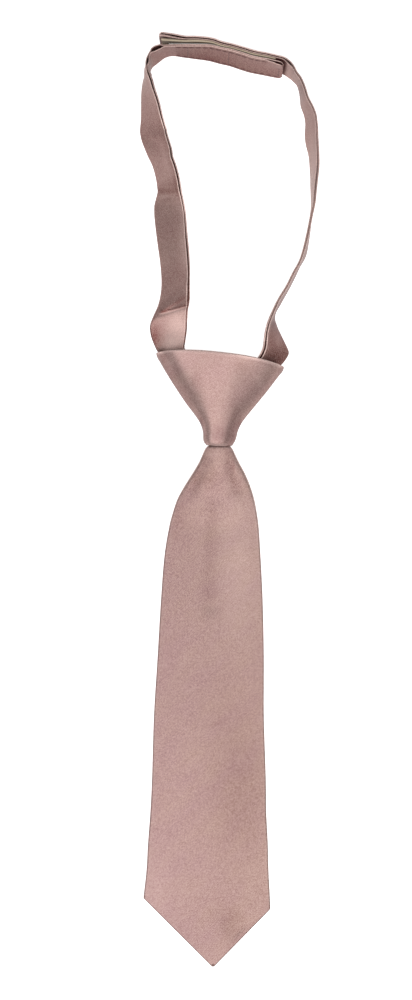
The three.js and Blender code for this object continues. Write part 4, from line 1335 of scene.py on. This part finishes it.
def make_straps():
    stack = [row[4] for row in CLOSURE_ROWS]
    left_rows = np.concatenate([standing(LEFT_ROWS), closure_layer(np.zeros(len(CLOSURE_ROWS)))])
    right_rows = np.concatenate([standing(RIGHT_FREE_ROWS), closure_layer(stack), standing(RIGHT_ROWS)])
    make_strap(
        "neck_strap_left", left_rows, True, LEFT_SECTIONS,
        shades=LEFT_SHADES, glow=LEFT_RIM_SHADING, places=LEFT_SPOTS,
        creases=LEFT_CREASES, ridges=LEFT_RIDGES, streaks=LEFT_STREAKS,
    )
    make_strap(
        "neck_strap_right", right_rows, False, RIGHT_SECTIONS,
        shades=RIGHT_SHADES, glow=RIGHT_RIM_SHADING, places=RIGHT_SPOTS,
    )


# Tapes

def make_tape(node, distances, column, start_x, finish):
    """A tape that stands between the straps, at its distances out from the left strap's middle."""
    rows = closure_layer(distances)
    ahead = rows[0] + (rows[0] - rows[1])
    curve = Curve(np.concatenate([[ahead], rows]), [0, 1, 2, 3])
    s = np.linspace(0, curve.length, TAPE_FINE_STEPS)
    s = np.interp(np.arange(start_x, TAPES_END, TAPE_STEP), curve.at(s)[:, 0], s)
    half = read(TAPE_ROWS, curve.at(s)[:, 0], column) / 2
    steps = np.linspace(TAPE_LOW, TAPE_WIDTH - TAPE_TOPS[0], TAPE_POINTS)
    steps = np.append(steps, [TAPE_WIDTH - top for top in TAPE_TOPS[1:]])
    along = np.repeat(TAPE_RISE + steps[None], len(s), 0)
    mid = StrapFrame(curve, s, STRAP_CLOTH).points(along, np.zeros(along.shape))
    lay = np.stack([along, np.repeat((s / BOTH_EDGES)[:, None], len(steps), 1)], -1)
    thick = np.repeat(half[:, None], len(steps), 1)
    # Painted shade on the faces below the tape's edge.
    pale = TAPE_FACE_SHADE * smooth(along[:, -1:] - along, 0, TAPE_EDGE)
    tape = cloth_piece(f"{node}_cloth", mid, thick, lay, finish, pale)
    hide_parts(node)


def make_tapes():
    """The hook tape lies on the left strap's outer face, the loop tape on the right strap's inner face."""
    rows = np.array(CLOSURE_ROWS)
    fold_x, stack = rows[:, 0], rows[:, 4]
    hook = LEFT_REACH + read(TAPE_ROWS, fold_x, 2) / 2
    loop = stack - read(RIGHT_REACH, fold_x, 1) - TAPE_GAP - read(TAPE_ROWS, fold_x, 1) / 2
    make_tape("hook_tape", hook, 2, HOOK_START, HOOK)
    make_tape("loop_tape", loop, 1, LOOP_START, LOOP)


# Floor, light and view

def make_floor():
    corners = [(x * FLOOR_HALF, y * FLOOR_HALF, -FLOOR_DROP) for x, y in ((-1, -1), (1, -1), (1, 1), (-1, 1))]
    mesh = bpy.data.meshes.new("floor")
    mesh.from_pydata(corners, [], [(0, 1, 2, 3)])
    mesh.materials.append(floor_finish())
    floor = add_object("floor", mesh)


def make_key_light():
    """A broad lamp that looks at the middle of the floor."""
    light = bpy.data.lights.new("key", "AREA")
    light.shape = "RECTANGLE"
    light.size, light.size_y = KEY_SIZE
    light.energy = KEY_POWER
    lamp = add_object("key", light)
    lamp.location = KEY_PLACE
    lamp.rotation_euler = (Vector() - Vector(KEY_PLACE)).to_track_quat("-Z", "Y").to_euler()


def make_world():
    world = bpy.data.worlds.new("studio")
    world.use_nodes = True
    background = world.node_tree.nodes["Background"]
    background.inputs["Color"].default_value = (1, 1, 1, 1)
    background.inputs["Strength"].default_value = WORLD_LIGHT
    bpy.context.scene.world = world


def make_camera():
    """Straight above the middle of the view, looking down."""
    camera = bpy.data.cameras.new("camera")
    camera.sensor_fit = "AUTO"
    camera.sensor_width = SENSOR
    camera.lens = SENSOR * VIEW_HEIGHT / VIEW_LENGTH
    camera.clip_end = VIEW_REACH
    seat = add_object("camera", camera)
    seat.location = (ORIGIN[0] * MM, ORIGIN[1] * MM, VIEW_HEIGHT * MM)
    bpy.context.scene.camera = seat


make_blade()
make_knot()
make_straps()
make_tapes()
make_floor()
make_world()
make_key_light()
make_camera()
bpy.context.scene.view_settings.view_transform = "Standard"
